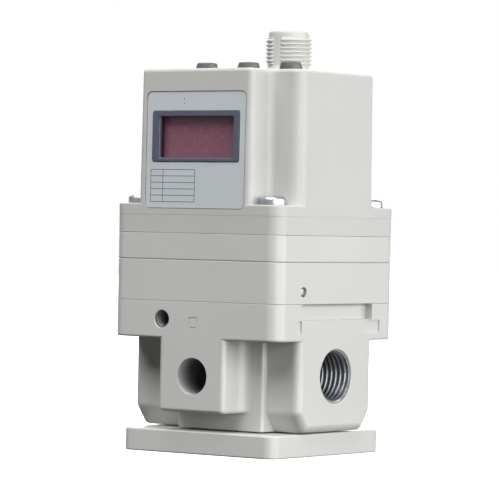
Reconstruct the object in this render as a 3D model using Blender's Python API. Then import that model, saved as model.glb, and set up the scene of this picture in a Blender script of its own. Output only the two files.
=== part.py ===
# Electro pneumatic regulator with a 50 mm square body.
# A die-cast body with two threaded ports and an exhaust port carries a stack of blocks,
# and a moulded cover with a display, three buttons and a round plug connector on top.
# Two small solenoid valves fill or vent the chamber over a diaphragm. The diaphragm pushes
# a hollow rod down on the supply valve, or lifts it off the valve's tip to let air out.
# Units are metres, +Z is up, the origin is the middle of the base plate's underside,
# and the display faces -Y.

import math

import bmesh
import bpy
import numpy as np
from mathutils import Matrix, Vector

MM = 0.001

# Clearances between pieces.
SEAT_GAP = 0.3 * MM          # between two faces that rest on each other
RUN_GAP = 0.3 * MM           # round a piece that slides, or a screw in its hole
SEAL_GAP = 0.15 * MM         # round a seal ring in its groove

# Facets of round shapes.
ROUND = 24                   # segments of a round shape that shows
INNER_ROUND = 16             # segments of a round shape inside
SMALL_ROUND = 10             # segments of a thin rod or a small hole
CORNER_STEPS = 3             # steps in a rounded corner of an outline
INNER_STEPS = 1              # steps in a corner of an inner wall
EDGE_STEPS = 2               # steps in a rounded edge
RING_SIDES = 5               # sides of a seal ring's section
WIRE_SIDES = 4               # sides of a spring's wire
WIRE_STEPS = 10              # steps in one turn of a spring

# Stack of blocks, from the bottom up.
BODY_SIDE = 50.0 * MM        # square side of the blocks
BODY_CORNER = 3.5 * MM       # radius of their upright corners
BLOCK_EDGE = 0.4 * MM        # rounding of their level edges
PLATE_SET_IN = 2.0 * MM      # base plate's sides in from the body's
PLATE_CORNER = 3.0 * MM
PLATE_H = 5.6 * MM
FLANGE_H = 8.85 * MM
DIAPHRAGM_BLOCK_H = 9.65 * MM
PILOT_BLOCK_H = 6.2 * MM
SUB_COVER_H = 4.15 * MM
LIP_H = 2.55 * MM            # flange round the foot of the cover
COVER_H = 35.25 * MM         # cover from its lip's underside to its roof

# Body below its flange.
BAR_HALF = 15.0 * MM         # half width of the bar that holds both threaded ports
BAR_CHAMFER_Y = 3.6 * MM
BAR_CHAMFER_Z = 4.7 * MM
BAR_EDGE = 2.0 * MM          # rounding of the port faces' edges
POST_Y = 17.0 * MM           # reach of the posts before and behind the bar
POST_NEAR = 10.2 * MM        # their narrow side from the axis
POST_FAR = 16.5 * MM         # their wide side from the axis
POST_CORNER = 0.8 * MM
NOSE_RIGHT = 9.5 * MM        # right side of the exhaust port's boss; its left is the post's
NOSE_FOOT = 4.3 * MM         # its underside above the body's foot
NOSE_CORNER = 1.2 * MM
NOSE_FILLET = 2.8 * MM       # hollow between the boss and the wide side of its post

# Ports.
PORT_Z = 13.45 * MM          # port axes above the body's foot
PORT_R = 6.58 * MM           # threaded ports at the thread's root, one quarter inch pipe
PORT_CHAMFER = 0.5 * MM
PORT_DEPTH = 11.0 * MM
VENT_R = 4.4 * MM            # exhaust port
VENT_PAST_RISER = 1.6 * MM   # its blind end past the riser's axis
VENT_Z = 13.05 * MM
PILOT_VENT_R = 2.15 * MM     # small threaded exhaust of the solenoid valve
PILOT_VENT_X = 9.5 * MM      # left of the axis
PILOT_VENT_Z = 4.55 * MM     # above the flange's underside
PILOT_VENT_DEPTH = 6.0 * MM
SLOT_HALF = 14.9 * MM        # slot over each threaded port
SLOT_DEPTH = 1.95 * MM
SLOT_H = 3.7 * MM
PAD_DEPTH = 0.4 * MM         # blank pads for port marks, sunk beside each threaded port
PAD_GAP = 0.15 * MM          # under the slot
PAD_H = 3.1 * MM
NEAR_PAD = (-16.75 * MM, -14.7 * MM)     # their ends along the face, from the port's axis
FAR_PAD = (12.2 * MM, 18.3 * MM)
PASSAGE_W = 8.0 * MM         # cored passages between ports and chambers
PASSAGE_H = 4.6 * MM

# Valve chambers in the body, stacked from its foot up.
GUIDE_BORE_R = 11.0 * MM
GUIDE_BORE_H = 4.3 * MM
SUPPLY_CHAMBER_R = 8.5 * MM
SEAT_WALL = 2.6 * MM
SEAT_BORE_R = 4.2 * MM
SEAT_LIP_H = 0.5 * MM
SEAT_LIP_W = 0.7 * MM
OUTLET_CHAMBER_R = 7.5 * MM
OUTLET_CHAMBER_H = 4.2 * MM
GUIDE_WALL = 1.8 * MM        # walls that the hollow rod slides through
VENT_CHAMBER_R = 6.0 * MM
VENT_CHAMBER_H = 3.8 * MM
SENSING_DEPTH = 5.0 * MM     # chamber under the diaphragm, below the body's top
RISER_Y = 12.6 * MM          # upright passage from the exhaust port to the vent chamber
RISER_R = 2.4 * MM

# Diaphragm and its chambers.
RIM_SET_IN = 3.5 * MM        # diaphragm's outer edge in from the body's sides
RIM_W = 3.5 * MM             # clamped rim of the diaphragm
RIM_H = 0.9 * MM
RUBBER_T = 0.6 * MM
FOLD_W = 7.0 * MM            # free ring between the rim and the clamped middle
DISH_DEPTH = 1.2 * MM        # middle of the diaphragm under the top of its rim
FOLD_DEPTH = 1.1 * MM        # fold between the plates and the rim
PILOT_CHAMBER_H = 4.4 * MM
STROKE = 1.0 * MM            # full stroke of the diaphragm
VALVE_LIFT = 0.5 * MM        # of it, what the supply valve follows

# Hollow rod, plates and nut.
ROD_R = 3.0 * MM
ROD_BORE_R = 1.5 * MM
ROD_SPIGOT_R = 1.8 * MM
ROD_FLANGE_T = 0.8 * MM
ROD_BORE_ROOF = 1.2 * MM     # solid end of the rod under its flange
ROD_PORT_R = 1.1 * MM
PLATE_T = 1.0 * MM
NUT_FLAT = 6.0 * MM
NUT_H = 2.0 * MM
SPIGOT_OUT = 0.5 * MM        # rod's spigot past its nut
RING_R = 0.5 * MM            # section of the small seal rings

# Supply valve, its guide and spring.
STEM_R = 2.0 * MM
POPPET_R = 6.4 * MM
POPPET_T = 1.6 * MM
FACING_T = 1.0 * MM
FACING_W = 3.0 * MM
GUIDE_FLOOR = 0.9 * MM       # under the bore that the valve's tail slides in
SLEEVE_R = 3.6 * MM
SLEEVE_CLEAR = 1.9 * MM      # between the guide's sleeve and the poppet
GUIDE_RING_R = 0.8 * MM
SPRING_L = 3.7 * MM          # installed length of the valve's spring
SPRING_WIRE = 0.45 * MM
SPRING_TURNS = 3.5

# Cover.
COVER_WALL = 2.0 * MM
LIP_OUT = 0.2 * MM           # lip proud of the blocks
COVER_DRAFT = 0.3 * MM       # how far the walls lean in from foot to roof
COVER_EDGE = 1.2 * MM
ARM_CORNER = 1.7 * MM
ARM_WIDE_CORNER = 3.1 * MM   # long corner of the side arms
SCREW_TO_SHORT_X = 3.6 * MM  # arms of the plus-shaped plan, in from the screws' axes
SCREW_TO_LONG_X = 2.5 * MM
SCREW_TO_SHORT_Y = 6.1 * MM
SCREW_TO_LONG_Y = 3.4 * MM

# Label, display and window frame on the front.
LABEL_LEFT_GAP = 2.2 * MM    # label's sides in from the front's
LABEL_RIGHT_GAP = 2.05 * MM
LABEL_FOOT = 1.5 * MM        # over the cover's lip underside
LABEL_HEAD = 5.65 * MM       # roof over the label's upper edge
LABEL_CORNER = 1.3 * MM
LABEL_T = 0.25 * MM
LABEL_POCKET = 0.45 * MM
LABEL_MARGIN = 0.2 * MM
BEZEL_SET_IN = 1.75 * MM     # window frame's sides in from the label's
BEZEL_FOOT = 11.2 * MM       # over the label's lower edge
BEZEL_HEAD = 4.7 * MM        # label over the window frame
BEZEL_FRAME_SIDE = 2.1 * MM
BEZEL_FRAME_TOP = 1.2 * MM
BEZEL_T = 2.0 * MM
BEZEL_CORNER = 0.5 * MM
WINDOW_T = 1.2 * MM
MODULE_T = 5.0 * MM
BOARD_T = 1.6 * MM

# Buttons on the roof.
BUTTON_PITCH = 12.8 * MM
BUTTON_Y = -4.4 * MM
BUTTON_R = 2.75 * MM
BUTTON_TOP_R = 2.25 * MM
BUTTON_OUT = 2.2 * MM        # proud of the roof
BUTTON_FLANGE_R = 3.7 * MM
BUTTON_FLANGE_T = 0.8 * MM
BUTTON_STEM = 0.6 * MM       # stem under the flange
BUTTON_TRAVEL = 0.5 * MM
SWITCH_SIDE = 6.0 * MM
SWITCH_H = 1.6 * MM
SWITCH_KNOB_R = 1.7 * MM
SWITCH_KNOB_H = 0.7 * MM
KEY_BOARD_MARGIN = 0.5 * MM  # key board past its switches

# Round plug connector with four pins.
PLUG_SET_IN = 12.6 * MM      # its axis in from the body's back
PLUG_H = 10.85 * MM          # over the roof
THREAD_R = 5.7 * MM
THREAD_ROOT_R = 5.1 * MM
THREAD_L = 7.2 * MM
PLUG_COLLAR = 1.5 * MM       # plain collar at the top
PLUG_BORE_R = 4.25 * MM
PLUG_BORE_DEPTH = 8.2 * MM
PLUG_FLARE = 0.6 * MM
PLUG_FLANGE_R = 7.0 * MM
PLUG_FLANGE_T = 1.0 * MM
PLUG_TAIL = 3.0 * MM
PIN_R = 0.5 * MM
PIN_CIRCLE_R = 2.2 * MM
PIN_SUNK = 1.6 * MM          # pin tips below the rim
PIN_TAIL = 2.0 * MM
KEY_W = 1.0 * MM
KEY_RISE = 0.8 * MM

# Solenoid valves, sensor and control board on the pilot block.
SOLENOID_SIDE = 10.0 * MM
SOLENOID_H = 21.0 * MM
SOLENOID_X = 8.0 * MM
SOLENOID_SET_IN = 16.5 * MM  # their axes in from the body's front
ARMATURE_R = 2.2 * MM
ARMATURE_L = 9.0 * MM
ARMATURE_LIFT = 0.4 * MM
ARMATURE_SPRING_L = 5.0 * MM
ARMATURE_WIRE = 0.22 * MM
ARMATURE_TURNS = 5.0
ORIFICE_R = 0.7 * MM
ORIFICE_RIM = 1.6 * MM
ORIFICE_RIM_H = 0.5 * MM
SENSOR_SIDE = 9.0 * MM
SENSOR_H = 5.0 * MM
SENSOR_Y = 8.2 * MM
SENSOR_NOZZLE_R = 1.6 * MM
SENSOR_NOZZLE_L = 2.4 * MM
CONTROL_BOARD_GAP = 1.0 * MM # behind the solenoid valves
CONTROL_BOARD_END = 2.9 * MM # between its ends and the cover's walls
CONTROL_BOARD_HEAD = 2.35 * MM   # under the key board
SCREW_TO_WINDOW_X = 2.4 * MM # sub cover's opening, in from the screws' axes
SCREW_TO_WINDOW_Y = 2.2 * MM

# Screws and plug.
SCREW_SET_IN_X = 5.0 * MM    # cover screws in from the body's sides
SCREW_SET_IN_Y = 4.4 * MM
SCREW_R = 1.5 * MM
SCREW_HEAD_R = 3.1 * MM
SCREW_HEAD_H = 1.9 * MM
SCREW_ENGAGED = 5.3 * MM     # length in the body's flange
DRIVER_GAP = 0.3 * MM        # round a screw's head in its corner pocket
CROSS_HALF = 1.7 * MM
CROSS_W = 0.35 * MM
CROSS_DEPTH = 1.3 * MM
FOOT_SCREW_SET_IN = 7.5 * MM # base screws in from the body's sides
FOOT_SCREW_Y = 7.6 * MM
FOOT_HEAD_R = 2.75 * MM
FOOT_HEAD_H = 3.0 * MM
FOOT_ENGAGED = 4.6 * MM
HEX_R = 1.45 * MM
HEX_DEPTH = 1.6 * MM
BLEED_R = 1.05 * MM
BLEED_Y = -14.2 * MM
BLEED_Z = 2.75 * MM          # over the diaphragm block's underside
BLEED_L = 3.0 * MM
PILOT_HOLE_R = 1.2 * MM

# Levels that follow from the sizes above.
Z_FOOT = PLATE_H + SEAT_GAP
Z_GUIDE_TOP = Z_FOOT + GUIDE_BORE_H - SEAT_GAP
Z_POPPET = Z_GUIDE_TOP + SPRING_L + SEAT_GAP * 2
Z_FACING_TOP = Z_POPPET + POPPET_T + FACING_T
Z_SEAT = Z_FACING_TOP + SEAT_GAP + SEAT_LIP_H
Z_OUTLET = Z_SEAT + SEAT_WALL
Z_OUTLET_TOP = Z_OUTLET + OUTLET_CHAMBER_H
Z_VENT = Z_OUTLET_TOP + GUIDE_WALL
Z_VENT_TOP = Z_VENT + VENT_CHAMBER_H
Z_SENSING = Z_VENT_TOP + GUIDE_WALL
Z_BODY_TOP = Z_SENSING + SENSING_DEPTH
Z_FLANGE = Z_BODY_TOP - FLANGE_H
Z_PORT = Z_FOOT + PORT_Z
Z_DIAPHRAGM_BLOCK = Z_BODY_TOP + SEAT_GAP
Z_PILOT_BLOCK = Z_DIAPHRAGM_BLOCK + DIAPHRAGM_BLOCK_H + SEAT_GAP
Z_SUB_COVER = Z_PILOT_BLOCK + PILOT_BLOCK_H + SEAT_GAP
Z_COVER = Z_SUB_COVER + SUB_COVER_H + SEAT_GAP
Z_LIP = Z_COVER + LIP_H
Z_ROOF = Z_COVER + COVER_H
Z_CEILING = Z_ROOF - COVER_WALL
Z_ROOF_SEAT = Z_CEILING - SEAT_GAP
Z_STEM_FOOT = Z_ROOF_SEAT - BUTTON_FLANGE_T - BUTTON_STEM
Z_SWITCH_KNOB = Z_STEM_FOOT - BUTTON_TRAVEL - SEAT_GAP
Z_SWITCH = Z_SWITCH_KNOB - SWITCH_KNOB_H
Z_KEY_BOARD = Z_SWITCH - SWITCH_H - SEAT_GAP
Z_LABEL = Z_COVER + LABEL_FOOT
Z_LABEL_TOP = Z_ROOF - LABEL_HEAD
Z_BEZEL = Z_LABEL + BEZEL_FOOT
Z_BEZEL_TOP = Z_LABEL_TOP - BEZEL_HEAD

# Places that follow from the body's side.
HALF = BODY_SIDE / 2
LIP_HALF = HALF + LIP_OUT
SCREW_X = HALF - SCREW_SET_IN_X
SCREW_Y = HALF - SCREW_SET_IN_Y
FOOT_SCREW_X = HALF - FOOT_SCREW_SET_IN
RIM_R = HALF - RIM_SET_IN
DIAPHRAGM_CHAMBER_R = RIM_R - RIM_W
CLAMP_R = DIAPHRAGM_CHAMBER_R - FOLD_W
ARM_SHORT_X = SCREW_X - SCREW_TO_SHORT_X
ARM_LONG_X = SCREW_X - SCREW_TO_LONG_X
ARM_SHORT_Y = SCREW_Y - SCREW_TO_SHORT_Y
ARM_LONG_Y = SCREW_Y - SCREW_TO_LONG_Y
LABEL_LEFT = LABEL_LEFT_GAP - ARM_LONG_X
LABEL_RIGHT = ARM_SHORT_X - LABEL_RIGHT_GAP
PLUG_Y = HALF - PLUG_SET_IN
SOLENOID_Y = SOLENOID_SET_IN - HALF
CONTROL_BOARD_Y = SOLENOID_Y + SOLENOID_SIDE / 2 + CONTROL_BOARD_GAP

# Counterbore round the pilot hole, which holds a seal ring.
PILOT_SEAL_R = PILOT_HOLE_R + RING_R * 2 + SEAL_GAP * 4
PILOT_SEAL_H = RING_R * 2 - SEAT_GAP + SEAL_GAP * 2


def clear_scene():
    for item in list(bpy.data.objects):
        bpy.data.objects.remove(item, do_unlink=True)
    for mesh in list(bpy.data.meshes):
        bpy.data.meshes.remove(mesh)
    for paint in list(bpy.data.materials):
        bpy.data.materials.remove(paint)


def finish(name, colour, roughness, metallic=0.0):
    """A plain shader for one kind of surface."""
    paint = bpy.data.materials.new(name)
    paint.use_nodes = True
    shader = paint.node_tree.nodes["Principled BSDF"]
    shader.inputs["Base Color"].default_value = (*colour, 1.0)
    shader.inputs["Roughness"].default_value = roughness
    shader.inputs["Metallic"].default_value = metallic
    paint.diffuse_color = (*colour, 1.0)
    return paint


def add_mesh(name, points, faces, paint=None):
    """One object from points and faces, with its faces turned outwards."""
    mesh = bpy.data.meshes.new(name)
    shape = bmesh.new()
    corners = [shape.verts.new(point) for point in points]
    for face in faces:
        shape.faces.new([corners[i] for i in face])
    bmesh.ops.recalc_face_normals(shape, faces=shape.faces)
    shape.to_mesh(mesh)
    shape.free()
    item = bpy.data.objects.new(name, mesh)
    bpy.context.scene.collection.objects.link(item)
    if paint:
        mesh.materials.append(paint)
    return item


def loft(name, loops, paint=None):
    """A solid through loops of as many points each, closed by a face at both ends."""
    count = len(loops[0])
    points = [point for loop in loops for point in loop]
    faces = [tuple(range(count)), tuple(range(len(points) - count, len(points)))]
    for level in range(len(loops) - 1):
        low, high = level * count, (level + 1) * count
        for i in range(count):
            j = (i + 1) % count
            faces.append((low + i, low + j, high + j, high + i))
    return add_mesh(name, points, faces, paint)


def turned(name, profile, paint=None, at=(0.0, 0.0), segments=INNER_ROUND, ring=False):
    """A solid of revolution about an upright axis. The profile lists (radius, height).
    It starts and ends on the axis, or runs round a ring's section."""
    points, rows = [], []
    for radius, height in profile:
        if radius < 1e-9:
            rows.append([len(points)])
            points.append((at[0], at[1], height))
            continue
        rows.append(list(range(len(points), len(points) + segments)))
        for i in range(segments):
            angle = 2 * math.pi * i / segments
            points.append((at[0] + radius * math.cos(angle),
                           at[1] + radius * math.sin(angle), height))
    pairs = list(zip(rows, rows[1:] + rows[:1])) if ring else list(zip(rows, rows[1:]))
    faces = []
    for low, high in pairs:
        for i in range(segments):
            j = (i + 1) % segments
            corners = [low[i % len(low)], low[j % len(low)],
                       high[j % len(high)], high[i % len(high)]]
            face = list(dict.fromkeys(corners))
            if len(face) > 2:
                faces.append(face)
    return add_mesh(name, points, faces, paint)


def rod(name, radius, low, high, paint=None, at=(0.0, 0.0), segments=SMALL_ROUND):
    """A plain upright cylinder."""
    return turned(name, [(0, low), (radius, low), (radius, high), (0, high)],
                  paint, at, segments)


def drill(radius, start, end, segments=SMALL_ROUND, start_radius=None):
    """A cylinder or cone between two points, for cutting."""
    start, end = Vector(start), Vector(end)
    axis = end - start
    cutter = turned("cutter", [(0, 0), (start_radius or radius, 0), (radius, axis.length),
                               (0, axis.length)], segments=segments)
    turn = Vector((0, 0, 1)).rotation_difference(axis).to_matrix().to_4x4()
    cutter.data.transform(Matrix.Translation(start) @ turn)
    return cutter


def rounded_outline(corners, radii, steps=CORNER_STEPS):
    """An outline through corners given anticlockwise, each rounded by an arc.
    A corner that points inwards gets its arc on the outside."""
    outline = []
    for i, corner in enumerate(corners):
        here = Vector(corner)
        back = (Vector(corners[i - 1]) - here).normalized()
        ahead = (Vector(corners[(i + 1) % len(corners)]) - here).normalized()
        half = math.acos(max(-1.0, min(1.0, back.dot(ahead)))) / 2
        radius = radii[i]
        centre = here + (back + ahead).normalized() * (radius / math.sin(half))
        first = here + back * (radius / math.tan(half)) - centre
        last = here + ahead * (radius / math.tan(half)) - centre
        turn = math.atan2(first.cross(last), first.dot(last))
        for k in range(steps + 1):
            angle = turn * k / steps
            outline.append((centre.x + first.x * math.cos(angle) - first.y * math.sin(angle),
                            centre.y + first.x * math.sin(angle) + first.y * math.cos(angle)))
    return outline


def rounded_rect(low, high, radius, steps=CORNER_STEPS):
    (x0, y0), (x1, y1) = low, high
    corners = [(x0, y0), (x1, y0), (x1, y1), (x0, y1)]
    return rounded_outline(corners, [radius] * len(corners), steps)


def level(outline, height):
    return [(x, y, height) for x, y in outline]


def soft_block(name, half_x, half_y, corner, low, high, edge, paint=None):
    """A rounded rectangular block whose level edges are rounded too."""
    loops = []
    for k in range(EDGE_STEPS + 1):
        angle = math.pi / 2 * k / EDGE_STEPS
        inset, rise = edge * (1 - math.sin(angle)), edge * (1 - math.cos(angle))
        loops.append((inset, low + rise))
    loops += [(inset, high - (height - low)) for inset, height in reversed(loops)]
    rings = [level(rounded_rect((-half_x + inset, -half_y + inset),
                                (half_x - inset, half_y - inset), corner - inset), height)
             for inset, height in loops]
    return loft(name, rings, paint)


def box(name, low, high, paint=None):
    """A plain rectangular block between two corners."""
    (x0, y0, z0), (x1, y1, z1) = low, high
    outline = [(x0, y0), (x1, y0), (x1, y1), (x0, y1)]
    return loft(name, [level(outline, z0), level(outline, z1)], paint)


def combine(item, tool, operation):
    """Adds a tool to an object or cuts it out of it, and removes the tool."""
    change = item.modifiers.new(operation.lower(), "BOOLEAN")
    change.object = tool
    change.operation = operation
    change.solver = "EXACT"
    graph = bpy.context.evaluated_depsgraph_get()
    result = bpy.data.meshes.new_from_object(item.evaluated_get(graph))
    item.modifiers.clear()
    item.data = result
    bpy.data.objects.remove(tool, do_unlink=True)
    return item


def cut(item, *tools):
    for tool in tools:
        combine(item, tool, "DIFFERENCE")
    return item


def join(item, *tools):
    for tool in tools:
        combine(item, tool, "UNION")
    return item


def smooth(item, degrees=35.0):
    """Shades the round faces smooth and keeps the real edges sharp."""
    item.data.shade_smooth()
    item.data.set_sharp_from_angle(angle=math.radians(degrees))
    return item


def corner_places(reach_x, reach_y):
    """The four places of a screw pattern, named as seen from the front."""
    return {"front_left": (-reach_x, -reach_y), "front_right": (reach_x, -reach_y),
            "back_left": (-reach_x, reach_y), "back_right": (reach_x, reach_y)}


def seal_ring(name, mean_radius, section, height, at=(0.0, 0.0)):
    """A rubber ring of round section."""
    angles = [2 * math.pi * k / RING_SIDES for k in range(RING_SIDES)]
    profile = [(mean_radius + section * math.cos(angle), height + section * math.sin(angle))
               for angle in angles]
    return smooth(turned(name, profile, RUBBER, at, ring=True), 80.0)


def coil_spring(name, mean_radius, wire, turns, low, high, at=(0.0, 0.0)):
    """A helical spring: a small polygon carried along a helix."""
    steps = int(turns * WIRE_STEPS)
    start, end = low + wire, high - wire
    up = np.array([0.0, 0.0, 1.0])
    sides = [2 * math.pi * j / WIRE_SIDES for j in range(WIRE_SIDES)]
    rings = []
    for k in range(steps + 1):
        angle = 2 * math.pi * turns * k / steps
        outward = np.array([math.cos(angle), math.sin(angle), 0.0])
        centre = np.array([at[0], at[1], start + (end - start) * k / steps])
        centre += mean_radius * outward
        rings.append([tuple(centre + wire * (math.cos(t) * outward + math.sin(t) * up))
                      for t in sides])
    return smooth(loft(name, rings, STAINLESS), 80.0)


# Finishes, in linear colours.
clear_scene()
PAINT = finish("light_grey_paint", (0.66, 0.66, 0.64), 0.35)
PLASTIC = finish("light_grey_plastic", (0.67, 0.67, 0.65), 0.45)
DARK_PLASTIC = finish("dark_grey_plastic", (0.09, 0.09, 0.10), 0.5)
BLACK_PLASTIC = finish("black_plastic", (0.02, 0.02, 0.02), 0.45)
SLATE_FILM = finish("slate_film", (0.05, 0.06, 0.09), 0.3)
RED_ACRYLIC = finish("red_acrylic", (0.16, 0.03, 0.05), 0.12)
LABEL_FILM = finish("label_film", (0.44, 0.48, 0.50), 0.35)
RUBBER = finish("black_rubber", (0.02, 0.02, 0.02), 0.8)
BRASS = finish("turned_brass", (0.75, 0.53, 0.20), 0.3, 1.0)
ALUMINIUM = finish("turned_aluminium", (0.78, 0.78, 0.78), 0.3, 1.0)
STEEL = finish("zinc_steel", (0.72, 0.73, 0.75), 0.3, 1.0)
STAINLESS = finish("stainless_steel", (0.60, 0.60, 0.60), 0.25, 1.0)
GOLD = finish("gold_plate", (0.90, 0.65, 0.25), 0.25, 1.0)
BOARD = finish("green_board", (0.02, 0.16, 0.06), 0.4)
CREAM_PLASTIC = finish("cream_plastic", (0.62, 0.58, 0.46), 0.5)


def screw_hole_cutters(low, high):
    """Clearance holes for the four long cover screws."""
    return [rod("hole", SCREW_R + RUN_GAP, low, high, at=place)
            for place in corner_places(SCREW_X, SCREW_Y).values()]


# Base plate: a machined plate screwed under the body from below.
def make_base_plate():
    plate = soft_block("base_plate", HALF - PLATE_SET_IN, HALF - PLATE_SET_IN, PLATE_CORNER,
                       0.0, PLATE_H, BLOCK_EDGE, PAINT)
    head_hole = FOOT_HEAD_H + SEAT_GAP * 2
    for place in corner_places(FOOT_SCREW_X, FOOT_SCREW_Y).values():
        cut(plate, rod("head", FOOT_HEAD_R + RUN_GAP, -MM, head_hole, at=place),
            rod("shank", SCREW_R + RUN_GAP, -MM, PLATE_H + MM, at=place))
    return smooth(plate)


# Body: a die casting with a bar for the threaded ports, a boss for the exhaust port,
# a square flange, and the valve chambers stacked on the upright axis.
def bar_section(inset):
    """Section of the port bar, with its lower edges cut at a slant."""
    foot, top = Z_FOOT, Z_FLANGE + BLOCK_EDGE
    wide, narrow = BAR_HALF - inset, BAR_HALF - BAR_CHAMFER_Y - inset
    knee = foot + BAR_CHAMFER_Z
    low = foot + inset if inset else foot
    return [(-narrow, low), (narrow, low), (wide, knee), (wide, top),
            (-wide, top), (-wide, knee)]


def port_bar():
    loops = []
    for side in (-1, 1):
        insets = [(BAR_EDGE * (1 - math.sin(math.pi / 2 * k / EDGE_STEPS)),
                   BAR_EDGE * (1 - math.cos(math.pi / 2 * k / EDGE_STEPS)))
                  for k in range(EDGE_STEPS + 1)]
        if side > 0:
            insets.reverse()
        for inset, depth in insets:
            loops.append([(side * (HALF - depth), y, z) for y, z in bar_section(inset)])
    return loft("bar", loops)


def make_body():
    flange = soft_block("body", HALF, HALF, BODY_CORNER, Z_FLANGE, Z_BODY_TOP,
                        BLOCK_EDGE, PAINT)
    join(flange, port_bar())
    inside = Z_FLANGE + BLOCK_EDGE + MM
    front_post = rounded_rect((-POST_NEAR, -POST_Y), (POST_FAR, 0.0), POST_CORNER)
    back_post = rounded_rect((-POST_FAR, 0.0), (POST_NEAR, POST_Y), POST_CORNER)
    for outline in (front_post, back_post):
        join(flange, loft("post", [level(outline, Z_FOOT), level(outline, inside)]))
    root = NOSE_RIGHT + NOSE_FILLET + MM
    nose = rounded_outline(
        [(-POST_NEAR, -HALF), (NOSE_RIGHT, -HALF), (NOSE_RIGHT, -POST_Y), (root, -POST_Y),
         (root, 0.0), (-POST_NEAR, 0.0)],
        [NOSE_CORNER, NOSE_CORNER, NOSE_FILLET, MM / 10, NOSE_CORNER, NOSE_CORNER])
    join(flange, loft("nose", [level(nose, Z_FOOT + NOSE_FOOT), level(nose, inside)]))

    chambers = turned("chambers", [
        (0, Z_FOOT - MM), (GUIDE_BORE_R, Z_FOOT - MM),
        (GUIDE_BORE_R, Z_FOOT + GUIDE_BORE_H), (SUPPLY_CHAMBER_R, Z_FOOT + GUIDE_BORE_H),
        (SUPPLY_CHAMBER_R, Z_SEAT), (SEAT_BORE_R + SEAT_LIP_W, Z_SEAT),
        (SEAT_BORE_R + SEAT_LIP_W, Z_SEAT - SEAT_LIP_H), (SEAT_BORE_R, Z_SEAT - SEAT_LIP_H),
        (SEAT_BORE_R, Z_OUTLET), (OUTLET_CHAMBER_R, Z_OUTLET),
        (OUTLET_CHAMBER_R, Z_OUTLET_TOP), (ROD_R + RUN_GAP, Z_OUTLET_TOP),
        (ROD_R + RUN_GAP, Z_VENT), (VENT_CHAMBER_R, Z_VENT),
        (VENT_CHAMBER_R, Z_VENT_TOP), (ROD_R + RUN_GAP, Z_VENT_TOP),
        (ROD_R + RUN_GAP, Z_SENSING), (DIAPHRAGM_CHAMBER_R, Z_SENSING),
        (DIAPHRAGM_CHAMBER_R, Z_BODY_TOP - RIM_H - SEAT_GAP),
        (RIM_R + RUN_GAP, Z_BODY_TOP - RIM_H - SEAT_GAP),
        (RIM_R + RUN_GAP, Z_BODY_TOP + MM), (0, Z_BODY_TOP + MM)])
    cut(flange, chambers)

    supply_high = Z_SEAT - SEAT_LIP_H
    outlet_high = Z_OUTLET_TOP
    for side, top in ((-1, supply_high), (1, outlet_high)):
        mouth = side * (HALF + MM)
        floor = side * (HALF - PORT_DEPTH)
        cut(flange,
            drill(PORT_R, (mouth, 0, Z_PORT), (floor, 0, Z_PORT), ROUND),
            drill(PORT_R, (side * HALF, 0, Z_PORT), (side * (HALF - PORT_CHAMFER), 0, Z_PORT),
                  ROUND, start_radius=PORT_R + PORT_CHAMFER),
            box("passage", (min(0, floor), -PASSAGE_W / 2, top - PASSAGE_H),
                (max(0, floor), PASSAGE_W / 2, top)),
            box("slot", (min(mouth, side * (HALF - SLOT_DEPTH)), -SLOT_HALF, Z_BODY_TOP - SLOT_H),
                (max(mouth, side * (HALF - SLOT_DEPTH)), SLOT_HALF, Z_BODY_TOP + MM)))
        pad_top = Z_BODY_TOP - SLOT_H - PAD_GAP
        for near, far in (NEAR_PAD, FAR_PAD):
            cut(flange, box("pad", (min(mouth, side * (HALF - PAD_DEPTH)), min(side * near, side * far),
                                    pad_top - PAD_H),
                            (max(mouth, side * (HALF - PAD_DEPTH)), max(side * near, side * far),
                             pad_top)))

    vent_z = Z_FOOT + VENT_Z
    vent_mid = (Z_VENT + Z_VENT_TOP) / 2
    pilot_z = Z_FLANGE + PILOT_VENT_Z
    cut(flange,
        drill(VENT_R, (0, -HALF - MM, vent_z), (0, VENT_PAST_RISER - RISER_Y, vent_z), ROUND),
        rod("riser", RISER_R, vent_z, vent_mid, at=(0, -RISER_Y)),
        drill(VENT_CHAMBER_H / 2 - SEAL_GAP, (0, -RISER_Y, vent_mid), (0, 0, vent_mid)),
        drill(PILOT_VENT_R, (-PILOT_VENT_X, -HALF - MM, pilot_z),
              (-PILOT_VENT_X, -HALF + PILOT_VENT_DEPTH, pilot_z)))
    cut(flange, *screw_hole_cutters(Z_BODY_TOP - SCREW_ENGAGED - SEAT_GAP * 2, Z_BODY_TOP + MM))
    for place in corner_places(FOOT_SCREW_X, FOOT_SCREW_Y).values():
        cut(flange, rod("hole", SCREW_R + RUN_GAP, Z_FOOT - MM,
                        Z_FOOT + FOOT_ENGAGED + SEAT_GAP, at=place))
    return smooth(flange)


# Blocks over the body: the upper half of the diaphragm's housing, the pilot block with
# its orifices, and the moulded sub cover that carries the electronics.
def make_diaphragm_block():
    low, high = Z_DIAPHRAGM_BLOCK, Z_DIAPHRAGM_BLOCK + DIAPHRAGM_BLOCK_H
    block = soft_block("diaphragm_block", HALF, HALF, BODY_CORNER, low, high, BLOCK_EDGE, PAINT)
    bleed_z = low + BLEED_Z
    cut(block, rod("chamber", DIAPHRAGM_CHAMBER_R, low - MM, low + PILOT_CHAMBER_H,
                   segments=INNER_ROUND),
        rod("pilot", PILOT_HOLE_R, low, high + MM),
        drill(BLEED_R + RUN_GAP, (HALF + MM, BLEED_Y, bleed_z),
              (HALF - BLEED_L - SEAT_GAP, BLEED_Y, bleed_z)),
        *screw_hole_cutters(low - MM, high + MM))
    return smooth(block)


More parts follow.
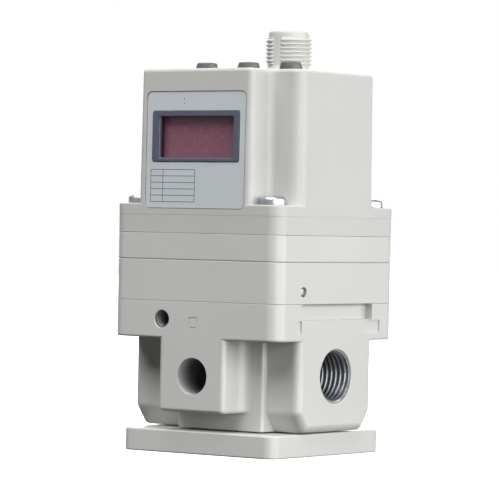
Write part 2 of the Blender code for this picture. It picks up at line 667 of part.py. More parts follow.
def make_pilot_block():
    low, high = Z_PILOT_BLOCK, Z_PILOT_BLOCK + PILOT_BLOCK_H
    block = soft_block("pilot_block", HALF, HALF, BODY_CORNER, low, high, BLOCK_EDGE, PAINT)
    for side in (-1, 1):
        place = (side * SOLENOID_X, SOLENOID_Y)
        join(block, rod("rim", ORIFICE_RIM, high - MM, high + ORIFICE_RIM_H, at=place))
        cut(block, rod("orifice", ORIFICE_R, high - PILOT_BLOCK_H / 2, high + MM, at=place),
            drill(ORIFICE_R, (side * SOLENOID_X, SOLENOID_Y, high - PILOT_BLOCK_H / 2),
                  (0, 0, high - PILOT_BLOCK_H / 2)))
    cut(block, rod("pilot", PILOT_HOLE_R, low - MM, high - PILOT_BLOCK_H / 3),
        rod("counterbore", PILOT_SEAL_R, low - MM, low + PILOT_SEAL_H,
            segments=INNER_ROUND),
        rod("sensor", SENSOR_NOZZLE_R + RUN_GAP + RING_R, high - SENSOR_NOZZLE_L - SEAT_GAP,
            high + MM, at=(0, SENSOR_Y)),
        drill(ORIFICE_R, (0, SENSOR_Y, high - SENSOR_NOZZLE_L), (0, 0, high - PILOT_BLOCK_H / 2)),
        *screw_hole_cutters(low - MM, high + MM))
    return smooth(block)


def control_board_end():
    return LIP_HALF - COVER_DRAFT - COVER_WALL - CONTROL_BOARD_END


def make_sub_cover():
    low, high = Z_SUB_COVER, Z_SUB_COVER + SUB_COVER_H
    plate = soft_block("sub_cover", HALF, HALF, BODY_CORNER, low, high, BLOCK_EDGE, PLASTIC)
    reach_x, reach_y = SCREW_X - SCREW_TO_WINDOW_X, SCREW_Y - SCREW_TO_WINDOW_Y
    window = rounded_rect((-reach_x, -reach_y), (reach_x, reach_y), COVER_WALL)
    cut(plate, loft("window", [level(window, low - MM), level(window, high + MM)]),
        *screw_hole_cutters(low - MM, high + MM))
    board_low = CONTROL_BOARD_Y - SEAT_GAP
    board_high = CONTROL_BOARD_Y + BOARD_T + SEAT_GAP
    board_end = control_board_end() + SEAT_GAP
    cut(plate, box("board_slot", (-board_end, board_low, high - BOARD_T),
                   (board_end, board_high, high + MM)))
    return smooth(plate)


# Cover: a moulded hood, plus-shaped in plan so that its four screws sit in corner
# pockets, with a square lip that stands on the sub cover.
def cover_outline(inset, steps):
    """Plan of the hood. It looks the same when it is turned by half a turn."""
    reach = LIP_HALF - inset
    near_x, far_x = ARM_SHORT_X - inset, ARM_LONG_X - inset
    near_y, far_y = ARM_SHORT_Y - inset, ARM_LONG_Y - inset
    outer = max(ARM_CORNER - inset, BLOCK_EDGE)
    wide = max(ARM_WIDE_CORNER - inset, BLOCK_EDGE)
    inner = ARM_CORNER + max(inset, 0.0) / 2
    half = [((-far_x, -reach), outer), ((near_x, -reach), outer), ((near_x, -far_y), inner),
            ((reach, -far_y), wide), ((reach, near_y), outer), ((far_x, near_y), inner)]
    corners = [place for place, _ in half] + [(-x, -y) for (x, y), _ in half]
    radii = [radius for _, radius in half] * 2
    return rounded_outline(corners, radii, steps)


def hood(name, wall, low, high, edge, paint=None, steps=CORNER_STEPS):
    """The drafted hood at a distance inside its outer face."""
    lean = COVER_DRAFT / COVER_H
    levels = [(wall + lean * (low - Z_COVER), low)]
    for k in range(EDGE_STEPS + 1):
        angle = math.pi / 2 * k / EDGE_STEPS
        height = high - edge * (1 - math.sin(angle))
        levels.append((wall + lean * (height - Z_COVER) + edge * (1 - math.cos(angle)), height))
    return loft(name, [level(cover_outline(inset, steps), height) for inset, height in levels],
                paint)


def front_y(height):
    """The hood's front face at a height."""
    return -LIP_HALF + COVER_DRAFT / COVER_H * (height - Z_COVER)


def front_plate(name, outline, front, back, paint=None):
    """A plate that follows the hood's front. The outline lists (x, height), and front
    and back are depths behind the face."""
    return loft(name, [[(x, front_y(z) + depth, z) for x, z in outline]
                       for depth in (front, back)], paint)


def label_outline(margin):
    return rounded_rect((LABEL_LEFT - margin, Z_LABEL - margin),
                        (LABEL_RIGHT + margin, Z_LABEL_TOP + margin),
                        LABEL_CORNER + margin)


def bezel_outline(margin, side=0.0, top=0.0):
    inset = BEZEL_SET_IN - margin + side
    return rounded_rect((LABEL_LEFT + inset, Z_BEZEL - margin + top),
                        (LABEL_RIGHT - inset, Z_BEZEL_TOP + margin - top),
                        BEZEL_CORNER)


def button_places():
    return {"down": (-BUTTON_PITCH, BUTTON_Y), "up": (0.0, BUTTON_Y),
            "set": (BUTTON_PITCH, BUTTON_Y)}


def make_cover():
    shell = hood("cover", 0.0, Z_COVER, Z_ROOF, COVER_EDGE, PLASTIC)
    join(shell, soft_block("lip", LIP_HALF, LIP_HALF, BODY_CORNER, Z_COVER, Z_LIP, BLOCK_EDGE))
    cut(shell, hood("cavity", COVER_WALL, Z_COVER - MM, Z_CEILING, BLOCK_EDGE,
                    steps=INNER_STEPS))
    cut(shell, front_plate("pocket", label_outline(LABEL_MARGIN), -MM, LABEL_POCKET),
        front_plate("opening", bezel_outline(LABEL_MARGIN), -MM, COVER_WALL + MM))
    for place in button_places().values():
        cut(shell, rod("button", BUTTON_R + RUN_GAP, Z_CEILING - MM, Z_ROOF + MM,
                       at=place, segments=ROUND))
    cut(shell, rod("plug", THREAD_R + PLUG_FLARE, Z_CEILING - MM, Z_ROOF + MM,
                   at=(0, PLUG_Y), segments=ROUND),
        *screw_hole_cutters(Z_COVER - MM, Z_LIP + MM))
    for place in corner_places(SCREW_X, SCREW_Y).values():
        cut(shell, rod("channel", SCREW_HEAD_R + DRIVER_GAP, Z_LIP, Z_ROOF + MM,
                       at=place, segments=INNER_ROUND))
    return smooth(shell)


# Front of the display: label film, window frame, red filter, digits and their board.
def make_display():
    film = front_plate("label", label_outline(0.0), LABEL_POCKET - SEAL_GAP - LABEL_T,
                       LABEL_POCKET - SEAL_GAP, LABEL_FILM)
    cut(film, front_plate("opening", bezel_outline(SEAL_GAP), -MM, MM))
    frame = front_plate("display_bezel", bezel_outline(0.0), SEAL_GAP, BEZEL_T + SEAL_GAP,
                        SLATE_FILM)
    cut(frame, front_plate("opening", bezel_outline(0.0, BEZEL_FRAME_SIDE, BEZEL_FRAME_TOP),
                           -MM, BEZEL_T + MM))
    window_front = BEZEL_T + SEAL_GAP + SEAT_GAP
    front_plate("display_window", bezel_outline(0.0), window_front, window_front + WINDOW_T,
                RED_ACRYLIC)
    module_front = window_front + WINDOW_T + SEAT_GAP
    module_back = module_front + MODULE_T
    front_plate("display_module", bezel_outline(0.0, BEZEL_FRAME_TOP, BEZEL_CORNER),
                module_front, module_back, BLACK_PLASTIC)
    board_front = front_y(Z_BEZEL) + module_back + SEAT_GAP
    half = ARM_SHORT_X - COVER_WALL - SEAT_GAP * 2
    box("display_board", (-half, board_front, Z_SUB_COVER + SUB_COVER_H + SEAT_GAP),
        (half, board_front + BOARD_T, Z_BEZEL_TOP + BEZEL_FRAME_TOP), BOARD)


# Buttons: caps with a flange under the roof, each over a small switch on the key board.
def make_buttons():
    flange_low = Z_ROOF_SEAT - BUTTON_FLANGE_T
    crown = BUTTON_R - BUTTON_TOP_R
    for name, place in button_places().items():
        smooth(turned(name + "_button", [
            (0, Z_STEM_FOOT), (BUTTON_TOP_R, Z_STEM_FOOT), (BUTTON_TOP_R, flange_low),
            (BUTTON_FLANGE_R, flange_low), (BUTTON_FLANGE_R, Z_ROOF_SEAT),
            (BUTTON_R, Z_ROOF_SEAT), (BUTTON_R, Z_ROOF + BUTTON_OUT - crown),
            (BUTTON_TOP_R + crown / 3, Z_ROOF + BUTTON_OUT - crown / 4),
            (BUTTON_TOP_R, Z_ROOF + BUTTON_OUT), (0, Z_ROOF + BUTTON_OUT)],
            DARK_PLASTIC, place))
        half = SWITCH_SIDE / 2
        case = box(name + "_switch", (place[0] - half, place[1] - half, Z_SWITCH - SWITCH_H),
                   (place[0] + half, place[1] + half, Z_SWITCH), BLACK_PLASTIC)
        smooth(join(case, rod("knob", SWITCH_KNOB_R, Z_SWITCH - MM, Z_SWITCH_KNOB, at=place)))
    reach = SWITCH_SIDE / 2 + KEY_BOARD_MARGIN
    box("key_board", (-BUTTON_PITCH - reach, BUTTON_Y - reach, Z_KEY_BOARD - BOARD_T),
        (BUTTON_PITCH + reach, BUTTON_Y + reach, Z_KEY_BOARD), BOARD)


# Connector: a moulded plug shell with an outer thread, an insert and four pins.
def make_connector():
    at = (0.0, PLUG_Y)
    top = Z_ROOF + PLUG_H
    thread_top = top - PLUG_COLLAR
    thread_foot = thread_top - THREAD_L
    flange_top = Z_ROOF_SEAT
    bore_r = PLUG_BORE_R
    shell = turned("connector_shell", [
        (bore_r, flange_top - PLUG_TAIL), (PLUG_FLANGE_R - PLUG_FLANGE_T, flange_top - PLUG_TAIL),
        (PLUG_FLANGE_R - PLUG_FLANGE_T, flange_top - PLUG_FLANGE_T),
        (PLUG_FLANGE_R, flange_top - PLUG_FLANGE_T), (PLUG_FLANGE_R, flange_top),
        (THREAD_R + PLUG_FLARE - RUN_GAP, flange_top), (THREAD_R + PLUG_FLARE - RUN_GAP, Z_ROOF),
        (THREAD_ROOT_R, Z_ROOF + PLUG_FLARE * 2), (THREAD_ROOT_R, thread_foot),
        (THREAD_R, thread_foot), (THREAD_R, thread_top), (THREAD_ROOT_R, thread_top),
        (THREAD_ROOT_R, top), (bore_r, top)], PLASTIC, at, ROUND, ring=True)
    key = box("key", (-KEY_W / 2, PLUG_Y + bore_r - KEY_RISE, top - PLUG_BORE_DEPTH + MM),
              (KEY_W / 2, PLUG_Y + bore_r + KEY_RISE / 2, top - PIN_SUNK))
    smooth(join(shell, key))
    floor = top - PLUG_BORE_DEPTH
    insert = rod("connector_insert", bore_r - SEAL_GAP, flange_top - PLUG_TAIL, floor,
                 CREAM_PLASTIC, at, INNER_ROUND)
    for k in range(4):
        angle = math.pi / 4 + math.pi / 2 * k
        place = (PIN_CIRCLE_R * math.cos(angle), PLUG_Y + PIN_CIRCLE_R * math.sin(angle))
        cut(insert, rod("hole", PIN_R + SEAL_GAP, flange_top - PLUG_TAIL - MM, floor + MM,
                        at=place))
        tip = top - PIN_SUNK
        smooth(turned("connector_pin_%d" % (k + 1), [
            (0, flange_top - PLUG_TAIL - PIN_TAIL), (PIN_R, flange_top - PLUG_TAIL - PIN_TAIL),
            (PIN_R, tip - PIN_R), (PIN_R * 0.6, tip - PIN_R * 0.2), (0, tip)],
            GOLD, place, SMALL_ROUND))
    smooth(insert)


# Main valve: the spring-loaded supply valve, its guide and the hollow rod above it.
def make_supply_valve():
    guide_low, guide_top = Z_FOOT, Z_GUIDE_TOP
    guide_r = GUIDE_BORE_R - RUN_GAP
    ring_z = (guide_low + guide_top) / 2
    ring_mean = GUIDE_BORE_R - SEAL_GAP - GUIDE_RING_R
    groove_r = ring_mean - GUIDE_RING_R - SEAL_GAP
    groove_half = GUIDE_RING_R + SEAL_GAP
    bore_floor = Z_FOOT + GUIDE_FLOOR
    tail_low = bore_floor + VALVE_LIFT + SEAT_GAP
    sleeve_top = Z_POPPET - SLEEVE_CLEAR
    smooth(turned("valve_guide", [
        (0, guide_low), (guide_r, guide_low), (guide_r, ring_z - groove_half),
        (groove_r, ring_z - groove_half), (groove_r, ring_z + groove_half),
        (guide_r, ring_z + groove_half), (guide_r, guide_top), (SLEEVE_R, guide_top),
        (SLEEVE_R, sleeve_top), (STEM_R + RUN_GAP, sleeve_top),
        (STEM_R + RUN_GAP, bore_floor), (0, bore_floor)], BRASS))
    seal_ring("valve_guide_seal", ring_mean, GUIDE_RING_R, ring_z)

    facing_top, poppet_low = Z_FACING_TOP, Z_POPPET
    pocket_floor = facing_top - FACING_T
    facing_in = POPPET_R - FACING_W - RUN_GAP - SEAL_GAP
    rim_in = POPPET_R - RUN_GAP
    rod_foot = Z_OUTLET + RUN_GAP + STEM_R / 2
    tip = rod_foot - (STROKE - VALVE_LIFT) - SEAT_GAP
    smooth(turned("supply_valve", [
        (0, tail_low), (STEM_R, tail_low), (STEM_R, poppet_low), (rim_in, poppet_low),
        (POPPET_R + RUN_GAP, poppet_low + RUN_GAP), (POPPET_R + RUN_GAP, facing_top - FACING_T / 2),
        (rim_in + SEAL_GAP, facing_top - FACING_T / 2), (rim_in + SEAL_GAP, pocket_floor - SEAL_GAP),
        (facing_in - SEAL_GAP, pocket_floor - SEAL_GAP), (facing_in - SEAL_GAP, facing_top - SEAL_GAP),
        (STEM_R, facing_top), (STEM_R, tip - STEM_R / 2),
        (STEM_R * 0.75, tip - STEM_R / 6), (0, tip)], BRASS))
    smooth(turned("supply_valve_facing", [
        (facing_in, pocket_floor), (rim_in, pocket_floor),
        (rim_in, facing_top), (facing_in, facing_top)], RUBBER, ring=True))
    coil_spring("valve_spring", (SLEEVE_R + SUPPLY_CHAMBER_R) / 2 - SPRING_WIRE * 2, SPRING_WIRE,
                SPRING_TURNS, guide_top + SEAT_GAP, poppet_low - SEAT_GAP)
    return rod_foot


# Diaphragm group: rubber diaphragm, plates, nut and the hollow rod with its seals.
def make_diaphragm(rod_foot):
    rim_top = Z_BODY_TOP
    middle_top = rim_top - DISH_DEPTH + RUBBER_T / 2
    middle_low = middle_top - RUBBER_T
    flange_top = middle_low - SEAT_GAP
    flange_low = flange_top - ROD_FLANGE_T
    plate_low = middle_top + SEAT_GAP
    plate_top = plate_low + PLATE_T
    nut_low = plate_top + SEAT_GAP
    nut_top = nut_low + NUT_H
    ring_mean = ROD_R + RUN_GAP - SEAL_GAP - RING_R
    groove_r = ring_mean - RING_R - SEAL_GAP
    groove_half = RING_R + SEAL_GAP
    rings = {"rod_lower_seal": Z_VENT - groove_half, "rod_upper_seal": Z_SENSING - groove_half}
    low_ring, high_ring = rings.values()
    smooth(turned("diaphragm_rod", [
        (ROD_BORE_R, rod_foot), (ROD_R, rod_foot),
        (ROD_R, low_ring - groove_half), (groove_r, low_ring - groove_half),
        (groove_r, low_ring + groove_half), (ROD_R, low_ring + groove_half),
        (ROD_R, high_ring - groove_half), (groove_r, high_ring - groove_half),
        (groove_r, high_ring + groove_half), (ROD_R, high_ring + groove_half),
        (ROD_R, flange_low), (CLAMP_R, flange_low), (CLAMP_R, flange_top),
        (ROD_SPIGOT_R, flange_top), (ROD_SPIGOT_R, nut_top + SPIGOT_OUT),
        (0, nut_top + SPIGOT_OUT), (0, Z_VENT_TOP - ROD_BORE_ROOF),
        (ROD_BORE_R, Z_VENT_TOP - ROD_BORE_ROOF)], ALUMINIUM, ring=True))
    hollow = bpy.data.objects["diaphragm_rod"]
    port_z = (Z_VENT + Z_VENT_TOP) / 2
    smooth(cut(hollow, drill(ROD_PORT_R, (0, -ROD_R * 2, port_z), (0, ROD_R * 2, port_z))))
    for name, height in rings.items():
        seal_ring(name, ring_mean, RING_R, height)

    hole = ROD_SPIGOT_R + RUN_GAP
    fold_in, fold_out = CLAMP_R + RUBBER_T, DIAPHRAGM_CHAMBER_R - RUBBER_T
    rim_low = rim_top - RIM_H
    steps = 8
    fold = []
    for k in range(steps + 1):
        share = k / steps
        radius = fold_in + (fold_out - fold_in) * share
        middle = (middle_top - RUBBER_T / 2) * (1 - share) + (rim_low + RUBBER_T / 2) * share
        fold.append((radius, middle - FOLD_DEPTH * math.sin(math.pi * share) ** 2))
    lower = [(radius, height - RUBBER_T / 2) for radius, height in fold]
    upper = [(radius, height + RUBBER_T / 2) for radius, height in reversed(fold)]
    smooth(turned("diaphragm", [(hole, middle_low)] + lower + [
        (RIM_R, rim_low), (RIM_R, rim_top), (fold_out + RUBBER_T, rim_top)] + upper + [
        (hole, middle_top)], RUBBER, ring=True), 50.0)
    smooth(turned("diaphragm_plate", [
        (hole, plate_low), (CLAMP_R, plate_low), (CLAMP_R, plate_top - PLATE_T / 2),
        (CLAMP_R - PLATE_T / 2, plate_top), (hole, plate_top)], ALUMINIUM, ring=True))
    nut = turned("diaphragm_nut", [
        (0, nut_low), (NUT_FLAT / 2 / math.cos(math.pi / 6), nut_low),
        (NUT_FLAT / 2 / math.cos(math.pi / 6), nut_top), (0, nut_top)], STEEL, segments=6)
    smooth(cut(nut, rod("hole", hole, nut_low - MM, nut_top + MM)))


# Solenoid valves: each is a coil case whose armature lifts off an orifice.
def make_solenoids():
    base = Z_PILOT_BLOCK + PILOT_BLOCK_H + SEAT_GAP
    half = SOLENOID_SIDE / 2
    armature_low = Z_PILOT_BLOCK + PILOT_BLOCK_H + ORIFICE_RIM_H + SEAT_GAP
    armature_top = armature_low + ARMATURE_L
    stop = armature_top + ARMATURE_LIFT + SEAT_GAP
    spring_top = armature_top + SEAT_GAP + ARMATURE_SPRING_L
    bore_top = spring_top + SEAT_GAP
    spring_mean = ARMATURE_R - ARMATURE_WIRE * 4
    spring_bore_r = spring_mean + ARMATURE_WIRE + SEAT_GAP
    for name, side in (("supply", -1), ("exhaust", 1)):
        at = (side * SOLENOID_X, SOLENOID_Y)
        outline = rounded_rect((at[0] - half, at[1] - half), (at[0] + half, at[1] + half), MM)
        case = loft(name + "_solenoid", [level(outline, base), level(outline, base + SOLENOID_H)],
                    BLACK_PLASTIC)
        smooth(cut(case, turned("bore", [
            (0, base - MM), (ARMATURE_R + RUN_GAP, base - MM), (ARMATURE_R + RUN_GAP, stop),
            (spring_bore_r, stop), (spring_bore_r, bore_top), (0, bore_top)],
            at=at, segments=SMALL_ROUND)))
        smooth(turned(name + "_armature", [
            (0, armature_low), (ORIFICE_RIM, armature_low), (ARMATURE_R, armature_low + MM),
            (ARMATURE_R, armature_top), (0, armature_top)], STAINLESS, at, SMALL_ROUND))
        coil_spring(name + "_armature_spring", spring_mean, ARMATURE_WIRE, ARMATURE_TURNS,
                    armature_top + SEAT_GAP, spring_top, at)


# Sensor, seals and the upright control board behind the solenoid valves.
def make_electronics():
    top = Z_PILOT_BLOCK + PILOT_BLOCK_H
    half = SENSOR_SIDE / 2
    case = box("pressure_sensor", (-half, SENSOR_Y - half, top + SEAT_GAP),
               (half, SENSOR_Y + half, top + SEAT_GAP + SENSOR_H), BLACK_PLASTIC)
    nozzle_low = top - SENSOR_NOZZLE_L + SEAT_GAP
    smooth(join(case, rod("nozzle", SENSOR_NOZZLE_R, nozzle_low, top + MM, at=(0, SENSOR_Y))))
    cut(case, rod("bore", ORIFICE_R, nozzle_low - MM, top + MM, at=(0, SENSOR_Y)))
    seal_r = (RUN_GAP + RING_R - SEAL_GAP * 2) / 2
    seal_ring("sensor_seal", SENSOR_NOZZLE_R + SEAL_GAP + seal_r, seal_r,
              top - SENSOR_NOZZLE_L / 2, (0, SENSOR_Y))
    seal_ring("pilot_seal", PILOT_SEAL_R - SEAL_GAP - RING_R, RING_R,
              Z_PILOT_BLOCK - SEAT_GAP + SEAL_GAP + RING_R)
    half_w = control_board_end()
    box("control_board", (-half_w, CONTROL_BOARD_Y, Z_SUB_COVER + SUB_COVER_H - BOARD_T + SEAT_GAP),
        (half_w, CONTROL_BOARD_Y + BOARD_T, Z_KEY_BOARD - BOARD_T - CONTROL_BOARD_HEAD), BOARD)


# Screws: four long pan head screws clamp cover and blocks to the body, and four socket
# screws hold the base plate. A small plug closes a drilled passage.
def cross_recess(place, top):
    arms = []
    for wide, tall in ((CROSS_HALF, CROSS_W), (CROSS_W, CROSS_HALF)):
        narrow_x, narrow_y = min(wide, CROSS_HALF / 2), min(tall, CROSS_HALF / 2)
        low = [(place[0] + sx * narrow_x, place[1] + sy * narrow_y, top - CROSS_DEPTH)
               for sx, sy in ((-1, -1), (1, -1), (1, 1), (-1, 1))]
        high = [(place[0] + sx * wide, place[1] + sy * tall, top + MM)
                for sx, sy in ((-1, -1), (1, -1), (1, 1), (-1, 1))]
        arms.append(loft("arm", [low, high]))
    return arms


def make_screws():
    head_low = Z_LIP + SEAT_GAP
    head_top = head_low + SCREW_HEAD_H
    tip = Z_BODY_TOP - SCREW_ENGAGED
    for name, place in corner_places(SCREW_X, SCREW_Y).items():
        screw = turned("cover_screw_" + name, [
            (0, tip), (SCREW_R * 0.7, tip), (SCREW_R, tip + SCREW_R * 0.3), (SCREW_R, head_low),
            (SCREW_HEAD_R, head_low), (SCREW_HEAD_R, head_low + SCREW_HEAD_H * 0.45),
            (SCREW_HEAD_R * 0.92, head_low + SCREW_HEAD_H * 0.75),
            (SCREW_HEAD_R * 0.7, head_low + SCREW_HEAD_H * 0.93), (0, head_top)],
            STEEL, place, INNER_ROUND)
        smooth(cut(screw, *cross_recess(place, head_top)))
    foot_low = SEAT_GAP
    foot_tip = Z_FOOT + FOOT_ENGAGED
    for name, place in corner_places(FOOT_SCREW_X, FOOT_SCREW_Y).items():
        screw = turned("base_screw_" + name, [
            (0, foot_low), (FOOT_HEAD_R - BLOCK_EDGE, foot_low), (FOOT_HEAD_R, foot_low + BLOCK_EDGE),
            (FOOT_HEAD_R, foot_low + FOOT_HEAD_H), (SCREW_R, foot_low + FOOT_HEAD_H),
            (SCREW_R, foot_tip - SCREW_R * 0.3), (SCREW_R * 0.7, foot_tip), (0, foot_tip)],
            STEEL, place, INNER_ROUND)
        smooth(cut(screw, rod("socket", HEX_R, foot_low - MM, foot_low + HEX_DEPTH,
                              at=place, segments=6)))
    bleed_z = Z_DIAPHRAGM_BLOCK + BLEED_Z
    plug = drill(BLEED_R, (HALF - SEAL_GAP, BLEED_Y, bleed_z), (HALF - BLEED_L, BLEED_Y, bleed_z))
    plug.name = "passage_plug"
    plug.data.materials.append(STEEL)
    smooth(plug)


make_base_plate()
make_body()
make_diaphragm_block()
make_pilot_block()
make_sub_cover()
make_cover()
make_display()
make_buttons()
make_connector()
make_diaphragm(make_supply_valve())
make_solenoids()
make_electronics()
make_screws()
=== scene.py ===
# Looks of an electro pneumatic regulator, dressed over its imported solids.
# Sizes are written in millimetres, meshes are in metres, +Z is up and the display faces -Y.

import bpy
import numpy as np
from mathutils import Matrix


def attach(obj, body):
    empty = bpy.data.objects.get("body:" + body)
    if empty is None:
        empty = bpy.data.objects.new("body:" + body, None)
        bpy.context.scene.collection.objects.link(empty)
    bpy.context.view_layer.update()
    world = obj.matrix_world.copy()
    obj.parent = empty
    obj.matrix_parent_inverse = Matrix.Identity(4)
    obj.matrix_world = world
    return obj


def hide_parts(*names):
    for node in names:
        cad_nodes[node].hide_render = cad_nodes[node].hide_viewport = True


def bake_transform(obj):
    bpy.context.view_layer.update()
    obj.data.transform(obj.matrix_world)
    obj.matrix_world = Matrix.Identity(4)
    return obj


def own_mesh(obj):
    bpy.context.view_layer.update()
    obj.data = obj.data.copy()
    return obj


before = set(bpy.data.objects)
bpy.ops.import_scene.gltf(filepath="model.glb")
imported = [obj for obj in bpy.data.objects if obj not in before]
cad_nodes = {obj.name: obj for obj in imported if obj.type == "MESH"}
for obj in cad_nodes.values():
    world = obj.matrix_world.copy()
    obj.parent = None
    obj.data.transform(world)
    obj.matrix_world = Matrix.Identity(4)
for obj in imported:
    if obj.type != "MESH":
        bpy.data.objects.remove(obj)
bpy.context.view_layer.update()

MM = 0.001


# Base plate: a square plate of die-cast aluminium under the body, sprayed and baked with
# light grey enamel. Four socket screws are sunk in its underside and hold the body.

def rounded_plan(corners, radii, insets, steps):
    """Outlines inside one another. Each corner moves in along the sum of its two edges'
    inner normals, then is replaced by an arc that touches both edges. The arc's radius is
    smaller by the inset at an outer corner and larger by it at an inner one."""
    least_arc = 1e-5
    corner, radius, inset = (np.asarray(a, float) for a in (corners, radii, insets))
    ahead = np.roll(corner, -1, axis=0) - corner
    ahead /= np.linalg.norm(ahead, axis=1, keepdims=True)
    before = np.roll(ahead, 1, axis=0)
    left = np.stack([-before[:, 1], before[:, 0]], axis=1)
    left_ahead = np.stack([-ahead[:, 1], ahead[:, 0]], axis=1)
    turn = np.arctan2(before[:, 0] * ahead[:, 1] - before[:, 1] * ahead[:, 0],
                      (before * ahead).sum(axis=1))
    way = np.sign(turn)
    mitre = (left + left_ahead) / (1 + (left * left_ahead).sum(axis=1))[:, None]
    moved = corner + inset[:, None, None] * mitre
    arc = np.maximum(radius - way * inset[:, None], least_arc)
    start = moved - before * (arc * np.tan(np.abs(turn) / 2))[..., None]
    centre = start + left * (way * arc)[..., None]
    angle = np.linspace(0, 1, steps + 1) * turn[:, None]
    spoke = -left * (way * arc)[..., None]
    x = spoke[..., 0, None] * np.cos(angle) - spoke[..., 1, None] * np.sin(angle)
    y = spoke[..., 0, None] * np.sin(angle) + spoke[..., 1, None] * np.cos(angle)
    outline = np.stack([centre[..., 0, None] + x, centre[..., 1, None] + y], axis=-1)
    return outline.reshape(len(inset), -1, 2)


def skin(name, rows, ring=False):
    """A closed surface over a grid of points. Each row is a closed loop joined to the next
    by four-sided faces. The first and last loops are filled, or joined to each other. The
    faces are turned outwards when the sum of corner . (corner x corner) is negative."""
    count, around = rows.shape[:2]
    index = np.arange(count * around).reshape(count, around)
    low, high = (index, np.roll(index, -1, axis=0)) if ring else (index[:-1], index[1:])
    faces = np.stack([low, np.roll(low, -1, axis=1), np.roll(high, -1, axis=1), high], axis=-1)
    faces = faces.reshape(-1, 4).tolist()
    if not ring:
        faces += [index[0, ::-1].tolist(), index[-1].tolist()]
    mesh = bpy.data.meshes.new(name)
    mesh.from_pydata(rows.reshape(-1, 3), [], faces)
    thirds = np.empty(len(mesh.loop_triangles) * 3, dtype=np.int32)
    mesh.loop_triangles.foreach_get("vertices", thirds)
    a, b, c = rows.reshape(-1, 3)[thirds.reshape(-1, 3)].transpose(1, 0, 2)
    if (a * np.cross(b, c)).sum() < 0:
        mesh.flip_normals()
    piece = bpy.data.objects.new(name, mesh)
    bpy.context.scene.collection.objects.link(piece)
    return piece


def rounded_edges(low, high, low_edge, high_edge, steps=5):
    """Side of a slab as (inset, height): a quarter circle, a straight wall and another
    quarter circle."""
    quarter = np.linspace(0, np.pi / 2, steps + 1)
    inset = np.concatenate([low_edge * (1 - np.sin(quarter)), high_edge * (1 - np.cos(quarter))])
    height = np.concatenate([low + low_edge * (1 - np.cos(quarter)),
                             high - high_edge * (1 - np.sin(quarter))])
    return inset, height


SHARP = 0.01             # rounding of an edge that looks sharp
UPRIGHT = np.eye(3)      # axes of a shape that stands on its plan


def slab(name, corners, radii, span, edges=(SHARP, SHARP), axes=UPRIGHT, origin=(0, 0, 0),
         steps=10):
    """A plate or bar: the plan's outline carried along its third axis from one end of the
    span to the other, with its inset following the rounded edges."""
    inset, height = rounded_edges(*span, *edges)
    plan = rounded_plan(corners, radii, inset, steps)
    depth = np.broadcast_to(height[:, None, None], plan.shape[:2] + (1,))
    rows = np.concatenate([plan, depth], axis=-1) @ np.asarray(axes)
    return skin(name, (rows + origin) * MM)


def oblong(left, low, right, high, radius):
    """Corners of an upright rectangle, anticlockwise, and their radii."""
    return [(left, low), (right, low), (right, high), (left, high)], [radius] * 4


def turned(name, radius, along, axes=UPRIGHT, origin=(0, 0, 0), segments=72, ring=False):
    """A turned shape: a circle of each radius at each place along the third axis. The
    radius may also be a grid over (place, angle)."""
    angle = np.linspace(0, 2 * np.pi, segments, endpoint=False)
    along = np.asarray(along, float)[:, None]
    radius = np.asarray(radius, float)
    radius = radius if radius.ndim == 2 else radius[:, None]
    rows = np.stack(np.broadcast_arrays(radius * np.cos(angle), radius * np.sin(angle), along),
                    axis=-1)
    return skin(name, (rows @ np.asarray(axes) + origin) * MM, ring)


def drill(radius, low, high, x=0, y=0, segments=72):
    """A plain upright cutter: one circle at two heights."""
    return turned("drill", [radius, radius], [low, high], UPRIGHT, (x, y, 0), segments)


def combine(piece, operation, *tools):
    """Cuts closed tools out of a closed piece, or joins them to it."""
    for tool in tools:
        change = piece.modifiers.new(operation.lower(), "BOOLEAN")
        change.object, change.operation, change.solver = tool, operation, "EXACT"
        graph = bpy.context.evaluated_depsgraph_get()
        result = bpy.data.meshes.new_from_object(piece.evaluated_get(graph))
        piece.modifiers.clear()
        piece.data = result
        bpy.data.objects.remove(tool, do_unlink=True)


def dress(piece, finish, slot, *replaced, body="housing", degrees=32.0):
    """Gives a piece its finish, and its body if it follows only one. Faces that meet at a
    small angle are shaded as one, and large faces lead the shading, so that flats stay flat
    beside round edges."""
    piece.data.shade_smooth()
    piece.data.set_sharp_from_angle(angle=np.radians(degrees))
    weighted = piece.modifiers.new("flat_faces_lead", "WEIGHTED_NORMAL")
    weighted.keep_sharp = True
    piece.data.materials.clear()
    piece.data.materials.append(finish)
    if replaced:
        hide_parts(*replaced)
    if body:
        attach(piece, body)


def linear(code):
    """The linear colour of an sRGB hex value."""
    value = np.array([int(code[i:i + 2], 16) for i in (1, 3, 5)]) / 255
    value = np.where(value <= 0.04045, value / 12.92, ((value + 0.055) / 1.055) ** 2.4)
    return (*value.tolist(), 1.0)


def add(finish, kind, sockets=(), **settings):
    """Adds a node with its settings. Each socket gets a value, or a link from the output
    that is given."""
    node = finish.node_tree.nodes.new("ShaderNode" + kind)
    for name, value in settings.items():
        setattr(node, name, value)
    for name, value in dict(sockets).items():
        if isinstance(value, bpy.types.NodeSocket):
            finish.node_tree.links.new(value, node.inputs[name])
        else:
            node.inputs[name].default_value = value
    return node


